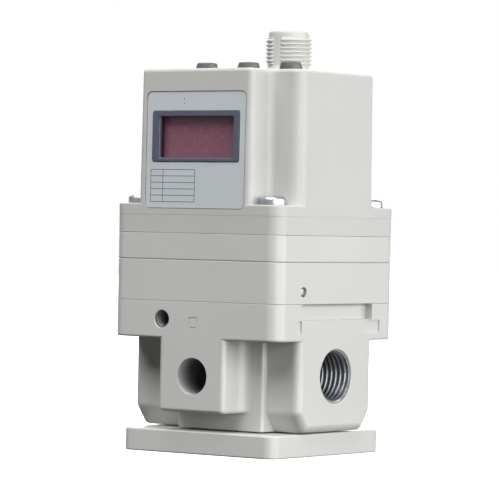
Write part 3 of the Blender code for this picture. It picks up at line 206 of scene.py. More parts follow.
def surfaced(name, low, high, patch, grain, depth, **values):
    """A finish whose colour drifts between two tones in patches of one size, with a relief
    of grains of another size and depth. Both patterns are noise in the piece's own
    coordinates. The tones change over the middle of the noise, where most of it lies."""
    finish = bpy.data.materials.new(name)
    finish.use_nodes = True
    shader = finish.node_tree.nodes["Principled BSDF"]
    for socket, value in values.items():
        shader.inputs[socket.replace("_", " ")].default_value = value
    place = add(finish, "TexCoord").outputs["Object"]
    cloud = add(finish, "TexNoise", {"Vector": place, "Scale": 1 / (patch * MM), "Detail": 2.0})
    tone = add(finish, "ValToRGB", {"Fac": cloud.outputs["Fac"]})
    for stop, at, code in zip(tone.color_ramp.elements, (0.3, 0.7), (low, high)):
        stop.position, stop.color = at, linear(code)
    peel = add(finish, "TexNoise", {"Vector": place, "Scale": 1 / (grain * MM), "Detail": 2.0})
    relief = add(finish, "Bump", {"Height": peel.outputs["Fac"], "Strength": 1.0,
                                  "Distance": depth * MM})
    finish.node_tree.links.new(tone.outputs["Color"], shader.inputs["Base Color"])
    finish.node_tree.links.new(relief.outputs["Normal"], shader.inputs["Normal"])
    return finish


def four_places(x, y):
    """Names and places of four like screws, each at x and y from the middle."""
    return [(f"{end}_{side}", way * x, far * y) for side, way in (("left", -1), ("right", 1))
            for end, far in (("front", -1), ("back", 1))]


# Baked enamel sprayed on a casting: an even light grey with a soft gloss. It drifts slightly
# in tone over 20 mm, and the spray leaves a faint orange peel about 1.5 mm across.
enamel = surfaced("baked_grey_enamel", "#cccdc9", "#d0d0cd", patch=20.0, grain=1.5, depth=0.006,
                  Roughness=0.34)

PLATE_HALF, PLATE_TOP = 23.0, 5.6
FOOT_SCREW = (17.5, 7.6)
plate = slab("base_plate_casting", *oblong(-PLATE_HALF, -PLATE_HALF, PLATE_HALF, PLATE_HALF, 3.0),
             (0, PLATE_TOP), (0.4, 0.5))
for _, x, y in four_places(*FOOT_SCREW):
    combine(plate, "DIFFERENCE", drill(3.05, -1, 3.6, x, y), drill(1.8, -1, 7, x, y))
dress(plate, enamel, "light_grey_paint", "base_plate")

# Rolled steel with a bright zinc plate: mirrors its surroundings, and is slightly mottled
# in patches of 1 mm.
zinc = surfaced("bright_zinc_plate", "#aab0b6", "#c2c8cd", patch=1.0, grain=0.8, depth=0.004,
                Metallic=1.0, Roughness=0.38)

# Radius and height up a socket screw: its rounded head, then its shank. The socket has six
# sides, and ends in the drill's cone.
foot_screw = np.array([(2.35, 0.3), (2.65, 0.38), (2.75, 0.65), (2.75, 3.15), (2.6, 3.3),
                       (1.5, 3.3), (1.5, 10.2), (1.2, 10.5)])
socket = np.array([(1.6, 0.2), (1.45, 0.45), (1.45, 1.9), (0.2, 2.3)])
for place, x, y in four_places(*FOOT_SCREW):
    screw = turned("socket_screw_" + place, *foot_screw.T, origin=(x, y, 0))
    combine(screw, "DIFFERENCE", turned("socket", *socket.T, origin=(x, y, 0), segments=6))
    dress(screw, zinc, "zinc_steel", "base_screw_" + place)


# Body: one aluminium die casting, enamelled like the plate. A bar holds the two threaded
# ports, posts stand before and behind it, a boss holds the exhaust port, and a square flange
# on top takes the four long screws.
HALF, CORNER = 25.0, 3.5         # half the side of every block, and its upright corners
block_plan = oblong(-HALF, -HALF, HALF, HALF, CORNER)
SIDEWAYS = [[0, 1, 0], [0, 0, 1], [1, 0, 0]]      # plans are (y, z), carried along X
FACING = [[1, 0, 0], [0, 0, 1], [0, 1, 0]]        # plans are (x, z), carried along Y

# Joined faces lie slightly apart, so that the joins and cuts are clean.
APART = 0.02
BODY_FOOT, IN_FLANGE = 5.9, 29   # posts and boss end inside the flange
casting = slab("body_casting", *block_plan, (27.95, 36.93), (0.6, 0.12))
bar_section = [(-11.9, BODY_FOOT), (11.9, BODY_FOOT), (15.5, 10.6), (15.5, 33), (-15.5, 33),
               (-15.5, 10.6)]
bar = slab("bar", bar_section, [1.5, 1.5, 2.5, 0.1, 0.1, 2.5], (APART - HALF, HALF - APART),
           (2.0, 2.0), SIDEWAYS)

# Each post is wider to one side of the middle, and the back one is the front one turned by
# half a turn. The boss stands before the front post, with a step at its right.
POST_NARROW, POST_WIDE, POST_OUT, POST_IN = 10.2, 15.5, 17, 10
front_post = slab("front_post", *oblong(-POST_NARROW, -POST_OUT, POST_WIDE, -POST_IN, 0.8),
                  (BODY_FOOT, IN_FLANGE), (0.3, SHARP))
back_post = slab("back_post", *oblong(-POST_WIDE, POST_IN, POST_NARROW, POST_OUT, 0.8),
                 (BODY_FOOT, IN_FLANGE), (0.3, SHARP))
BOSS_LEFT, BOSS_RIGHT, STEP_RIGHT, BOSS_IN = -POST_NARROW - APART, 9.5, 13.3, -12
boss_plan = [(BOSS_LEFT, APART - HALF), (BOSS_RIGHT, APART - HALF),
             (BOSS_RIGHT, -POST_OUT - APART), (STEP_RIGHT, -POST_OUT - APART),
             (STEP_RIGHT, BOSS_IN), (BOSS_LEFT, BOSS_IN)]
boss = slab("boss", boss_plan, [1.2, 1.2, 2.8, 0.1, 0.1, 0.1], (10.2, IN_FLANGE), (0.9, SHARP))
combine(casting, "UNION", bar, front_post, boss, back_post)

# Radius and height up the bore: the valve guide's seat, the supply chamber, the valve's seat,
# the outlet chamber, a wall, the vent chamber, a wall, and the diaphragm's chamber and ledge.
chamber = np.array([(11, 5), (11, 10.2), (8.5, 10.2), (8.5, 17.6), (4.2, 17.6), (4.2, 20.2),
                    (7.5, 20.2), (7.5, 24.4), (3.3, 24.4), (3.3, 26.2), (6, 26.2), (6, 30),
                    (3.3, 30), (3.3, 31.8), (18, 31.8), (18, 35.6), (21.8, 35.6), (21.8, 38)])

# Ports: the two at the sides, the exhaust port in the boss with its riser behind it, and the
# small pilot exhaust in the flange. Radius and distance from the middle, going in.
PORT_Z, EXHAUST_Z, RISER_Y = 19.35, 18.95, -12.6
PILOT_X, PILOT_Z = -9.5, 32.5
exhaust_bore = np.array([(4.5, -25.2), (4.47, -24.95), (4.42, -24.85), (4.4, -24.7), (4.4, -11)])
pilot_bore = np.array([(2.35, -25.1), (2.15, -24.8), (2.15, -19)])
port_bore = np.array([(6.9, 25.1), (6.58, 24.75), (6.58, 14)])

# A shallow groove frames a bare square on the flange.
frame_cut = slab("frame_cut", *oblong(-1.35, 30.45, 1.25, 33.25, 0.3), (-26, -24.82), axes=FACING)
combine(frame_cut, "DIFFERENCE",
        slab("field", *oblong(-0.95, 30.85, 0.85, 32.85, 0.2), (-27, -24), axes=FACING))
combine(casting, "DIFFERENCE", frame_cut,
        turned("chamber", *chamber.T),
        turned("exhaust_port", *exhaust_bore.T, FACING, (0, 0, EXHAUST_Z)),
        drill(2.4, EXHAUST_Z, 28.1, y=RISER_Y),
        turned("pilot_exhaust", *pilot_bore.T, FACING, (PILOT_X, 0, PILOT_Z)))

# On each side a passage leads from the port into its chamber, supply at the left and outlet
# at the right. A slot runs over the port, with a blank pad cut in at each of its ends.
CLEAR = 26.0             # where a cutter from the side starts, outside the block
for side, passage_top in ((-1, 17.1), (1, 24.4)):
    passage = slab("passage", *oblong(-4, passage_top - 4.6, 4, passage_top, 0.8),
                   sorted((side * 14.5, side * 5)), axes=SIDEWAYS)
    slot = slab("slot", *oblong(-14.9, 33.1, 14.9, 38, 0.2), sorted((side * 23.05, side * CLEAR)),
                axes=SIDEWAYS)
    combine(casting, "DIFFERENCE",
            turned("port", port_bore[:, 0], side * port_bore[:, 1], SIDEWAYS, (0, 0, PORT_Z)),
            passage, slot)
    for pad_start, pad_end in ((-16.75, -14.7), (12.2, 18.3)):
        left, right = sorted((side * pad_start, side * pad_end))
        pad = slab("pad", *oblong(left, 29.85, right, 32.95, 0.3),
                   sorted((side * 24.6, side * CLEAR)), axes=SIDEWAYS)
        combine(casting, "DIFFERENCE", pad)

STACK_SCREW = (20.0, 20.6)


def stack_holes(piece, low, high):
    """Bores the four long screws' holes through a piece of the stack."""
    for _, x, y in four_places(*STACK_SCREW):
        combine(piece, "DIFFERENCE", drill(1.8, low, high, x, y, segments=48))


stack_holes(casting, 30, 38)
dress(casting, enamel, "light_grey_paint", "body")

# Aluminium as it leaves the die: a dull grey with grains of about 0.4 mm, painted darker than
# the bare skin is so that it also gives the bores their shade. The bores and passages keep it.
bare_skin_with_painted_shade = surfaced("bare_aluminium_with_painted_shade", "#6f7376", "#7f8386", patch=3.0, grain=0.4, depth=0.01,
                   Metallic=0.3, Roughness=0.55)

# Painted shade in the exhaust port: the wall has the enamel's tone at the mouth and darkens
# to the bare skin over the first 5 mm inwards, as the light falls off into the bore.
painted_bore_shade = bare_skin_with_painted_shade.copy()
painted_bore_shade.name = "exhaust_bore_painted_shade"
shader = painted_bore_shade.node_tree.nodes["Principled BSDF"]
inward = add(painted_bore_shade, "SeparateXYZ", {"Vector": add(painted_bore_shade, "TexCoord").outputs["Object"]})
fade = add(painted_bore_shade, "MapRange", {"Value": inward.outputs["Y"], "From Min": -HALF * MM,
                                   "From Max": (5 - HALF) * MM})
mouth_to_depth = add(painted_bore_shade, "MixRGB", {"Fac": fade.outputs["Result"], "Color1": linear("#cecfcb"),
                                    "Color2": shader.inputs["Base Color"].links[0].from_socket})
painted_bore_shade.node_tree.links.new(mouth_to_depth.outputs["Color"], shader.inputs["Base Color"])

# A face takes the darker bare skin, with its painted shade, when its middle lies on a bore's
# wall or floor. The rounded mouths, outside 24.8 mm at the front and 24.5 mm at the sides,
# stay enamelled.
casting.data.materials.append(bare_skin_with_painted_shade)
casting.data.materials.append(painted_bore_shade)
face_x, face_y, face_z = np.array([face.center for face in casting.data.polygons]).T / MM
from_front = (face_y > -24.8) & (face_y < -10)
in_exhaust = (np.hypot(face_x, face_z - EXHAUST_Z) < 4.42) & from_front
in_pilot = (np.hypot(face_x - PILOT_X, face_z - PILOT_Z) < 2.17) & from_front
in_ports = (np.hypot(face_y, face_z - PORT_Z) < 6.7) & (np.abs(face_x) < 24.5)
coat = np.where(in_exhaust, 2, in_pilot | in_ports)
casting.data.polygons.foreach_set("material_index", coat.astype(np.int32))


# Pipe threads: cut into the bare aluminium of both ports after painting, nineteen turns
# to the inch. The pilot exhaust has a small thread of its own.
def cut_thread(name, root, crest, pitch, start, end, axes, origin, fine=14, segments=120):
    """A threaded sleeve. The inner radius runs between crest and root as a triangle wave of
    (place / pitch - angle / turn), clipped so that both are flat. The outer one is plain."""
    flat = 0.15
    steps = int(abs(end - start) / pitch * fine)
    along = np.linspace(start, end, steps)
    angle = np.linspace(0, 1, segments, endpoint=False)
    wave = np.abs(((along[:, None] / pitch - angle) % 1) * 2 - 1)
    depth = np.clip(wave * (1 + 2 * flat) - flat, 0, 1)
    inner = crest + (root - crest) * depth
    outer = np.full((2, segments), root + 0.02)
    return turned(name, np.vstack([inner, outer]), np.concatenate([along, [end, start]]),
                  axes, origin, segments, ring=True)


# Tapped aluminium: grey and a little dull, because the tap tears the casting's grain. The
# tears are about 0.2 mm long.
tapped = surfaced("tapped_aluminium", "#7c8084", "#94989c", patch=2.0, grain=0.2, depth=0.004,
                  Metallic=1.0, Roughness=0.36)
for name, side in (("left", -1), ("right", 1)):
    thread = cut_thread(name + "_port_thread", root=6.56, crest=5.75, pitch=1.337,
                        start=side * 24.6, end=side * 14.2, axes=SIDEWAYS, origin=(0, 0, PORT_Z))
    dress(thread, tapped, "turned_aluminium", degrees=60.0)
# The pilot exhaust's thread takes the same darker skin, which paints the small hole's shade.
thread = cut_thread("pilot_exhaust_thread", root=2.14, crest=1.8, pitch=0.8, start=-24.6,
                    end=-19.2, axes=FACING, origin=(PILOT_X, 0, PILOT_Z), segments=64)
dress(thread, bare_skin_with_painted_shade, "turned_aluminium", degrees=60.0)


# Blocks over the body: the upper half of the diaphragm's housing and the pilot block are
# enamelled castings, and the sub cover is a moulded plate. Long screws clamp them, and only
# hairline seams show between them.
PLUG_PLACE = (0, -14.2, 39.85)
plug_bore = np.array([(1.4, 25.1), (1.2, 24.85), (1.2, 21.7)])
block = slab("diaphragm_block_casting", *block_plan, (36.95, 46.93), (0.15, 0.15))
combine(block, "DIFFERENCE", drill(18, 36, 41.5), drill(1.2, 40, 48, segments=24),
        turned("plug_hole", *plug_bore.T, SIDEWAYS, PLUG_PLACE, 48))
stack_holes(block, 36, 48)
dress(block, enamel, "light_grey_paint", "diaphragm_block")

# The plug is a pin with a domed face, pressed in so that it ends a little below the surface.
pin = np.array([(0.3, 21.98), (1.0, 21.98), (1.02, 22.1), (1.02, 24.5), (0.9, 24.72),
                (0.6, 24.82), (0.2, 24.84)])
plug = turned("passage_plug_pin", *pin.T, SIDEWAYS, PLUG_PLACE, 48)
dress(plug, tapped, "zinc_steel", "passage_plug")

pilot = slab("pilot_block_casting", *block_plan, (46.95, 53.38), (0.35, 0.12))
combine(pilot, "DIFFERENCE", drill(1.2, 46, 51.2, segments=24))
stack_holes(pilot, 46, 54)
dress(pilot, enamel, "light_grey_paint", "pilot_block")

# ABS moulded in a spark-eroded tool: a matt light grey. The texture's grains are about
# 0.3 mm across, drawn a little coarser so that they just break up the highlight.
abs_grey = surfaced("moulded_grey_abs", "#c4c4c0", "#c8c8c4", patch=25.0, grain=0.5, depth=0.004,
                    Roughness=0.46)

sub = slab("sub_cover_moulding", *block_plan, (53.4, 57.88), (0.15, 0.02))
combine(sub, "DIFFERENCE", slab("window", *oblong(-17.6, -18.4, 17.6, 18.4, 2.0), (52, 59)))
stack_holes(sub, 52, 59)
dress(sub, abs_grey, "light_grey_plastic", "sub_cover")


# Cover: a moulded hood of the same ABS. Its plan is a plus, so that the four screws sit in
# corner pockets, and its walls lean in a little so that it leaves the mould.
LIP, COVER_FOOT, LIP_TOP, ROOF = 25.03, 57.89, 60.55, 93.25
LEAN = 0.3 / 35.25       # the walls move in by 0.3 mm on their way up
half_plan = np.array([(-17.5, -LIP), (16.4, -LIP), (16.4, -17.2), (LIP, -17.2), (LIP, 14.5),
                      (17.5, 14.5)])
half_radii = [1.3, 1.7, 1.9, 3.1, 1.3, 1.9]


def hood(name, wall, low, high, edge):
    """The hood at a distance inside its face: the plus carried up with an inset that grows
    with height, and a quarter circle into the roof."""
    quarter = np.linspace(0, np.pi / 2, 8)
    height = np.concatenate([[low], high - edge * (1 - np.sin(quarter))])
    inset = wall + LEAN * (height - COVER_FOOT)
    inset[1:] += edge * (1 - np.cos(quarter))
    plan = rounded_plan(np.vstack([half_plan, -half_plan]), half_radii * 2, inset, 12)
    depth = np.broadcast_to(height[:, None, None], plan.shape[:2] + (1,))
    return skin(name, np.concatenate([plan, depth], axis=-1) * MM)


# Everything on the front leans with the wall. Plans there are (x, height), and depth is
# measured into the wall.
ON_FRONT = [[1, 0, 0], [0, LEAN, 1], [0, 1, 0]]
FRONT = (0, -LIP - LEAN * COVER_FOOT, 0)


def on_front(name, left, low, right, high, radius, depth, edges=(SHARP, SHARP)):
    """An oblong slab in or on the front, from one depth to the other."""
    return slab(name, *oblong(left, low, right, high, radius), depth, edges, ON_FRONT, FRONT)


CONNECTOR_Y = 12.4
BUTTON_Y = -4.4
BUTTON_X = {"down": -12.8, "up": 0.0, "set": 12.8}
hull = hood("cover_moulding", 0, COVER_FOOT, ROOF, 0.9)
combine(hull, "UNION", slab("lip", *oblong(-LIP, -LIP, LIP, LIP, CORNER), (COVER_FOOT, LIP_TOP),
                            (0.04, 0.4)))
combine(hull, "DIFFERENCE", hood("cavity", 2, 57, 91.25, 0.4),
        on_front("label_pocket", -15.5, 59.3, 14.6, 87.8, 1.5, (-1, 0.45)),
        on_front("display_opening", -13.75, 70.5, 12.8, 83.1, 0.6, (-1, 3)),
        drill(6.3, 90, 94, y=CONNECTOR_Y))
for x in BUTTON_X.values():
    combine(hull, "DIFFERENCE", drill(3.05, 90, 94, x, BUTTON_Y))
for _, x, y in four_places(*STACK_SCREW):
    combine(hull, "DIFFERENCE", drill(3.4, LIP_TOP, 95, x, y))
stack_holes(hull, 57, 62)
dress(hull, abs_grey, "light_grey_plastic", "cover")


# Label: a polyester film glued into a shallow pocket of the cover. In place of words it
# carries an empty ruled table, and two small dots over the display.

# Printed polyester film: a pale blue grey with a satin face, almost without grain.
film_grey = surfaced("printed_polyester_film", "#cad0d4", "#cdd3d7", patch=12.0, grain=0.4,
                     depth=0.0015, Roughness=0.38)
film = on_front("label_film", -15.3, 59.5, 14.35, 87.6, 1.3, (0.17, 0.42), (0.05, SHARP))
combine(film, "DIFFERENCE",
        on_front("display_opening", -13.7, 70.55, 12.75, 83.05, 0.6, (-1, 1)))
dress(film, film_grey, "label_film", "label")


def printed(name, boxes, depth):
    """Flat prints on the front: a box over each (left, low, right, high), from one depth to
    the other. Each box's eight corners are the products of its spans."""
    box = np.asarray(boxes, float)
    through = np.broadcast_to(depth, (len(box), 2))
    span = np.stack([box[:, [0, 2]], box[:, [1, 3]], through], axis=1)
    pick = np.array([[0, 0, 0], [1, 0, 0], [1, 1, 0], [0, 1, 0],
                     [0, 0, 1], [1, 0, 1], [1, 1, 1], [0, 1, 1]])
    place = span[:, np.arange(3), pick].reshape(-1, 3) @ np.asarray(ON_FRONT) + FRONT
    sides = np.array([[0, 1, 2, 3], [7, 6, 5, 4], [4, 5, 1, 0], [5, 6, 2, 1], [6, 7, 3, 2],
                      [7, 4, 0, 3]])
    faces = (np.arange(len(box))[:, None, None] * 8 + sides).reshape(-1, 4)
    mesh = bpy.data.meshes.new(name)
    mesh.from_pydata(place * MM, [], faces.tolist())
    piece = bpy.data.objects.new(name, mesh)
    bpy.context.scene.collection.objects.link(piece)
    return piece


# Screen-printed ink: dark blue grey, laid thin enough that its coverage varies slightly.
ink = surfaced("screen_printed_ink", "#4e565b", "#5c6469", patch=0.6, grain=0.3, depth=0.001,
               Roughness=0.5)
LINE, TABLE_LEFT, TABLE_RIGHT, DOT = 0.14, -13.9, -0.4, 0.28
line_z = np.linspace(60.9, 68.7, 6)
lines = [(TABLE_LEFT, z, TABLE_RIGHT, z + LINE) for z in line_z]
columns = [(x, line_z[0], x + LINE, line_z[-1] + LINE)
           for x in (TABLE_LEFT, -10.2, TABLE_RIGHT - LINE)]
dots = [(-4.3, z, -4.3 + DOT, z + DOT) for z in (84.7, 85.75)]
dress(printed("label_print", lines + columns + dots, (0.155, 0.175)), ink, "label_film")


# Display: a moulded frame with an opening, a black rim that holds the dark red filter behind
# it, and unlit seven-segment digits under the filter. It snaps into the cover's opening.

# Moulded polycarbonate: a slate blue with a satin face.
slate = surfaced("moulded_slate_polycarbonate", "#565b6b", "#5b6070", patch=6.0, grain=0.4,
                 depth=0.003, Roughness=0.34)
bezel = on_front("display_frame", -13.55, 70.7, 12.6, 82.9, 0.6, (0.0, 0.75), (0.12, SHARP))
combine(bezel, "DIFFERENCE",
        on_front("opening", -11.35, 71.65, 10.75, 81.55, 0.3, (-1, 3)),
        on_front("cove", -11.6, 71.4, 11.0, 81.8, 0.5, (-1, 0.3), (SHARP, 0.25)))
dress(bezel, slate, "slate_film", "display_bezel")

# Moulded nylon: a soft black that hides the gap between the frame and the filter.
black = surfaced("moulded_black_nylon", "#1d1d20", "#27272a", patch=4.0, grain=0.4, depth=0.004,
                 Roughness=0.45)
rim = on_front("display_rim", -13.5, 70.75, 12.55, 82.85, 0.6, (0.78, 2.1))
combine(rim, "DIFFERENCE", on_front("opening", -11.4, 71.6, 10.8, 81.6, 0.3, (-1, 3)))
dress(rim, black, "black_plastic")

# Tinted acrylic: a glossy dark wine red. A faint painted glow, a small emission, lifts the
# shadow that the frame throws on it.
PAINTED_GLOW = linear("#8a4a60")
red_filter = surfaced("tinted_red_acrylic", "#7e5263", "#855868", patch=5.0, grain=2.0,
                      depth=0.001, Roughness=0.12, Emission_Color=PAINTED_GLOW, Emission_Strength=0.05)
pane = on_front("display_filter", -13.4, 70.85, 12.45, 82.75, 0.5, (2.15, 3.4), (0.05, 0.05))
dress(pane, red_filter, "red_acrylic", "display_window")

# Unlit segments seen through the filter: only a slightly paler red, with a faint painted glow.
segment = surfaced("digits_behind_red_acrylic", "#835766", "#8a5d6c", patch=1.0, grain=0.3,
                   depth=0.001, Roughness=0.12, Emission_Color=PAINTED_GLOW, Emission_Strength=0.055)

# Each digit has three level and four upright segments. A point moves right by a tenth of its
# height over the digits' middle.
SEGMENT = 0.8
DIGIT_LEFT, DIGIT_PITCH, DIGIT_FOOT, DIGIT_MIDDLE, SLANT = -10.8, 4.9, 73.1, 77, 0.1
levels = [(0.9, z, 3.4, z + SEGMENT) for z in (0.0, 3.3, 6.6)]
uprights = [(x, z, x + SEGMENT, z + 2.4) for x in (0.1, 3.4) for z in (0.85, 4.15)]
cells = np.array(levels + uprights)
places = np.array([(DIGIT_LEFT + DIGIT_PITCH * k, DIGIT_FOOT) * 2 for k in range(4)])
digits = printed("unlit_digits", (cells[None] + places[:, None]).reshape(-1, 4), (2.13, 2.2))
corner = np.empty(len(digits.data.vertices) * 3, dtype=np.float32)
digits.data.vertices.foreach_get("co", corner)
corner = corner.reshape(-1, 3)
corner[:, 0] += SLANT * (corner[:, 2] - DIGIT_MIDDLE * MM)
digits.data.vertices.foreach_set("co", corner.ravel())
dress(digits, segment, "red_acrylic")


# Buttons: caps moulded in a harder plastic, with a soft crown. Each stands in its hole over a
# flange that keeps it in, and springs back from the switch under it.

# Moulded acetal: a dark warm grey, a little glossier than the cover.
cap_grey = surfaced("moulded_dark_grey_cap", "#565458", "#5c5a5e", patch=3.0, grain=0.4,
                    depth=0.004, Roughness=0.4)

# Radius and height up a cap: its foot over the switch, the flange, the stem, and a quarter
# circle that leads into the nearly flat top.
CROWN = 0.45
crown = np.linspace(0, np.pi / 2, 7)
cap_radius = np.concatenate([[2.25, 2.25, 3.6, 3.7, 3.7, 3.6, 2.8, 2.8, 2.78],
                             2.1 + CROWN * np.cos(crown), [1.0, 0.3]])
cap_height = np.concatenate([[89.6, 90.15, 90.15, 90.25, 90.85, 90.95, 90.95, 94.0, 94.4],
                             95.2 + CROWN * np.sin(crown), [95.68, 95.7]])
for name, x in BUTTON_X.items():
    cap = turned(name + "_button_cap", cap_radius, cap_height, origin=(x, BUTTON_Y, 0))
    dress(cap, cap_grey, "dark_grey_plastic", name + "_button", body=name + "_key")


# Connector: a plug shell moulded in the cover's ABS, with an outer thread of 1 mm pitch. A
# plain band runs down the front and the back, where the mould parts, and a rib keys the bore.
CONNECTOR_TOP, THREAD_LOW, THREAD_HIGH = 104.1, 95.6, 102.55
outer_profile = np.array([(87.95, 6.0), (89.9, 6.0), (89.95, 7.0), (90.9, 7.0), (90.95, 6.0),
                          (93.25, 6.0), (94.4, 5.7), (95.0, 5.35), (THREAD_LOW, 5.12),
                          (103.5, 5.1), (103.85, 5.05), (104.0, 4.95), (CONNECTOR_TOP, 4.8)])
height = np.concatenate([[87.95, 89.9, 89.95, 90.9, 90.95, 93.2],
                         np.linspace(93.25, THREAD_LOW, 16), np.linspace(95.65, 102.6, 150),
                         np.linspace(102.7, CONNECTOR_TOP, 9)])
angle = np.linspace(0, 2 * np.pi, 180, endpoint=False)
plain = np.interp(height, *outer_profile.T)

# The ridge is a raised cosine of (height / pitch - angle / turn), cut off flat at its crest.
# The crest passes 95.89 mm at 5.28 radians, near the side that faces the camera. The ridge
# fades in over 0.3 mm and out over 0.25 mm. A band is plain for 0.2 radians to each side of
# its middle, and the ridge fades in beside it over 0.1 radians.
CREST_Z, CREST_ANGLE, PITCH = 95.89, 5.28, 1.0
ROOT_LIFT, RIDGE, SWING = 0.1, 0.52, 0.56
turn = (height[:, None] - CREST_Z) / PITCH - (angle - CREST_ANGLE) / (2 * np.pi)
ridge = ROOT_LIFT + RIDGE * np.clip(SWING + SWING * np.cos(2 * np.pi * turn), 0, 1)
ends = np.clip((height - THREAD_LOW) / 0.3, 0, 1) * np.clip((THREAD_HIGH - height) / 0.25, 0, 1)
off_band = np.abs((angle / np.pi % 1) - 0.5) * np.pi
beside = np.clip((off_band - 0.2) / 0.1, 0, 1)
outside = plain[:, None] + ridge * ends[:, None] * beside

# The rib stands at the back of the bore, 0.8 mm high. exp(-((angle - pi / 2) / 0.12)^8) is
# flat on top and falls steeply at 0.12 radians to each side.
bore_height = np.array([CONNECTOR_TOP, 104.0, 103.8, 95.9, 87.95])
bore_radius = np.array([4.45, 4.32, 4.25, 4.25, 4.25])
rib = 0.8 * np.exp(-((angle - np.pi / 2) / 0.12) ** 8)
ribbed = ((bore_height < 103) & (bore_height > 95.5))[:, None]
inside = bore_radius[:, None] - rib * ribbed
shell = turned("plug_shell", np.vstack([outside, inside]), np.concatenate([height, bore_height]),
               origin=(0, CONNECTOR_Y, 0), segments=180, ring=True)
dress(shell, abs_grey, "light_grey_plastic", "connector_shell", degrees=50.0)


# Cover screws: long zinc-plated pan heads with a cross recess, rolled from steel. They clamp
# the whole stack to the body. Radius and height up the shank and the head:
pan_screw = np.array([(1.0, 31.5), (1.5, 32.0), (1.5, 60.57), (3.0, 60.57), (3.1, 60.67),
                      (3.1, 61.65), (3.05, 61.95), (2.85, 62.3), (2.5, 62.53), (2.0, 62.67),
                      (1.3, 62.73), (0.5, 62.75)])
RECESS_REACH, RECESS_HALF, RECESS_FLOOR = 1.7, 0.35, 61.5
for place, x, y in four_places(*STACK_SCREW):
    screw = turned("pan_screw_" + place, *pan_screw.T, origin=(x, y, 0))
    for half_x, half_y in ((RECESS_REACH, RECESS_HALF), (RECESS_HALF, RECESS_REACH)):
        arm = slab("arm", *oblong(x - half_x, y - half_y, x + half_x, y + half_y, 0.05),
                   (RECESS_FLOOR, 64), (0.3, SHARP), steps=3)
        combine(screw, "DIFFERENCE", arm)
    dress(screw, zinc, "zinc_steel", "cover_screw_" + place)


# Diaphragm: a moulded rubber sheet with a fold between its clamped rim and its middle.

# Moulded nitrile rubber: a matt near black, with a slight bloom in patches.
rubber = surfaced("moulded_nitrile_rubber", "#1b1b1c", "#262627", patch=3.0, grain=0.5,
                  depth=0.01, Roughness=0.75)

# The fold's height falls from the middle and rises to the rim: middle + rise * share - dip *
# sin(pi * share)^2. The sheet has half its thickness to each side.
MIDDLE_Z, RISE, DIP, HALF_SHEET = 35.27, 1.1, 1.1, 0.25
HOLE_R, FOLD_START, FOLD_WIDTH, RIM_LOW, RIM_HIGH = 1.85, 11.6, 5.8, 36.1, 36.8
share = np.linspace(0, 1, 33)
fold_r = FOLD_START + FOLD_WIDTH * share
fold_z = MIDDLE_Z + RISE * share - DIP * np.sin(np.pi * share) ** 2
sheet_radius = [[HOLE_R], fold_r, [18.0, 21.5, 21.5, 18.2], fold_r[::-1], [HOLE_R]]
sheet_height = [[MIDDLE_Z - HALF_SHEET], fold_z - HALF_SHEET,
                [RIM_LOW, RIM_LOW, RIM_HIGH, RIM_HIGH], fold_z[::-1] + HALF_SHEET,
                [MIDDLE_Z + HALF_SHEET]]
sheet = turned("diaphragm_sheet", np.concatenate(sheet_radius), np.concatenate(sheet_height),
               ring=True)
dress(sheet, rubber, "black_rubber", "diaphragm", body=None, degrees=50.0)
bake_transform(sheet)


# Springs: steel wire wound cold, with closed end coils. One lifts the supply valve to its
# seat, and two press the solenoid valves' armatures down.

# Drawn stainless wire and bar: a neutral bright grey with a fine drawn grain.
stainless = surfaced("drawn_stainless_steel", "#a9abad", "#bcbec0", patch=2.0, grain=0.4,
                     depth=0.003, Metallic=1.0, Roughness=0.3)


def coil_spring(name, mean, wire, turns, low, high, x, y, steps=24, sides=10):
    """Round wire carried along a helix. The height rises by little more than the wire's
    thickness in the first and last turns, and evenly in the others."""
    turn = np.linspace(0, turns, int(turns * steps) + 1)
    span, closed = high - low - 2 * wire, 2.3 * wire
    height = low + wire + np.interp(turn, [0, 1, turns - 1, turns],
                                    [0, closed, span - closed, span])
    around = np.linspace(0, 2 * np.pi, sides, endpoint=False)
    way = (2 * np.pi * turn)[:, None]
    reach = mean + wire * np.cos(around)
    rows = np.stack([x + reach * np.cos(way), y + reach * np.sin(way),
                     height[:, None] + wire * np.sin(around)], axis=-1)
    return skin(name, rows * MM)


def fit_spring(node, fixed, moving, mean, wire, turns, x=0, y=0):
    """A spring from its fixed end to its moving end."""
    spring = coil_spring(node + "_coil", mean, wire, turns, *sorted((fixed, moving)), x, y)
    dress(spring, stainless, "stainless_steel", node, degrees=60.0)
    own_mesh(spring)


fit_spring("valve_spring", fixed=9.92, moving=14.18, mean=5.15,
           wire=0.3, turns=4)
for name, x in (("supply", -8.0), ("exhaust", 8.0)):
    fit_spring(name + "_armature_spring", fixed=68.6,
               moving=63.07, mean=1.32, wire=0.2, turns=6, x=x, y=-8.5)


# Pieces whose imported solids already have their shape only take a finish: seals, turned valve
# parts, the connector's insert and pins, circuit boards, and moulded cases.
def carry_over(finish, *names):
    """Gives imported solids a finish."""
    for name in names:
        item = cad_nodes[name]
        item.data.materials.clear()
        item.data.materials.append(finish)


# Turned brass is a warm yellow with fine tool marks, and turned aluminium a bright neutral
# grey. Gold plate is smoother than either and deeper in colour.
brass = surfaced("turned_brass", "#c9a45a", "#d8b673", patch=3.0, grain=0.3, depth=0.004,
                 Metallic=1.0, Roughness=0.3)
turned_alloy = surfaced("turned_aluminium", "#bfc1c4", "#d9dadc", patch=2.0, grain=0.2,
                        depth=0.003, Metallic=1.0, Roughness=0.26)
gold = surfaced("gold_plate", "#dcb35a", "#e8c46c", patch=1.5, grain=0.3, depth=0.002,
                Metallic=1.0, Roughness=0.25)

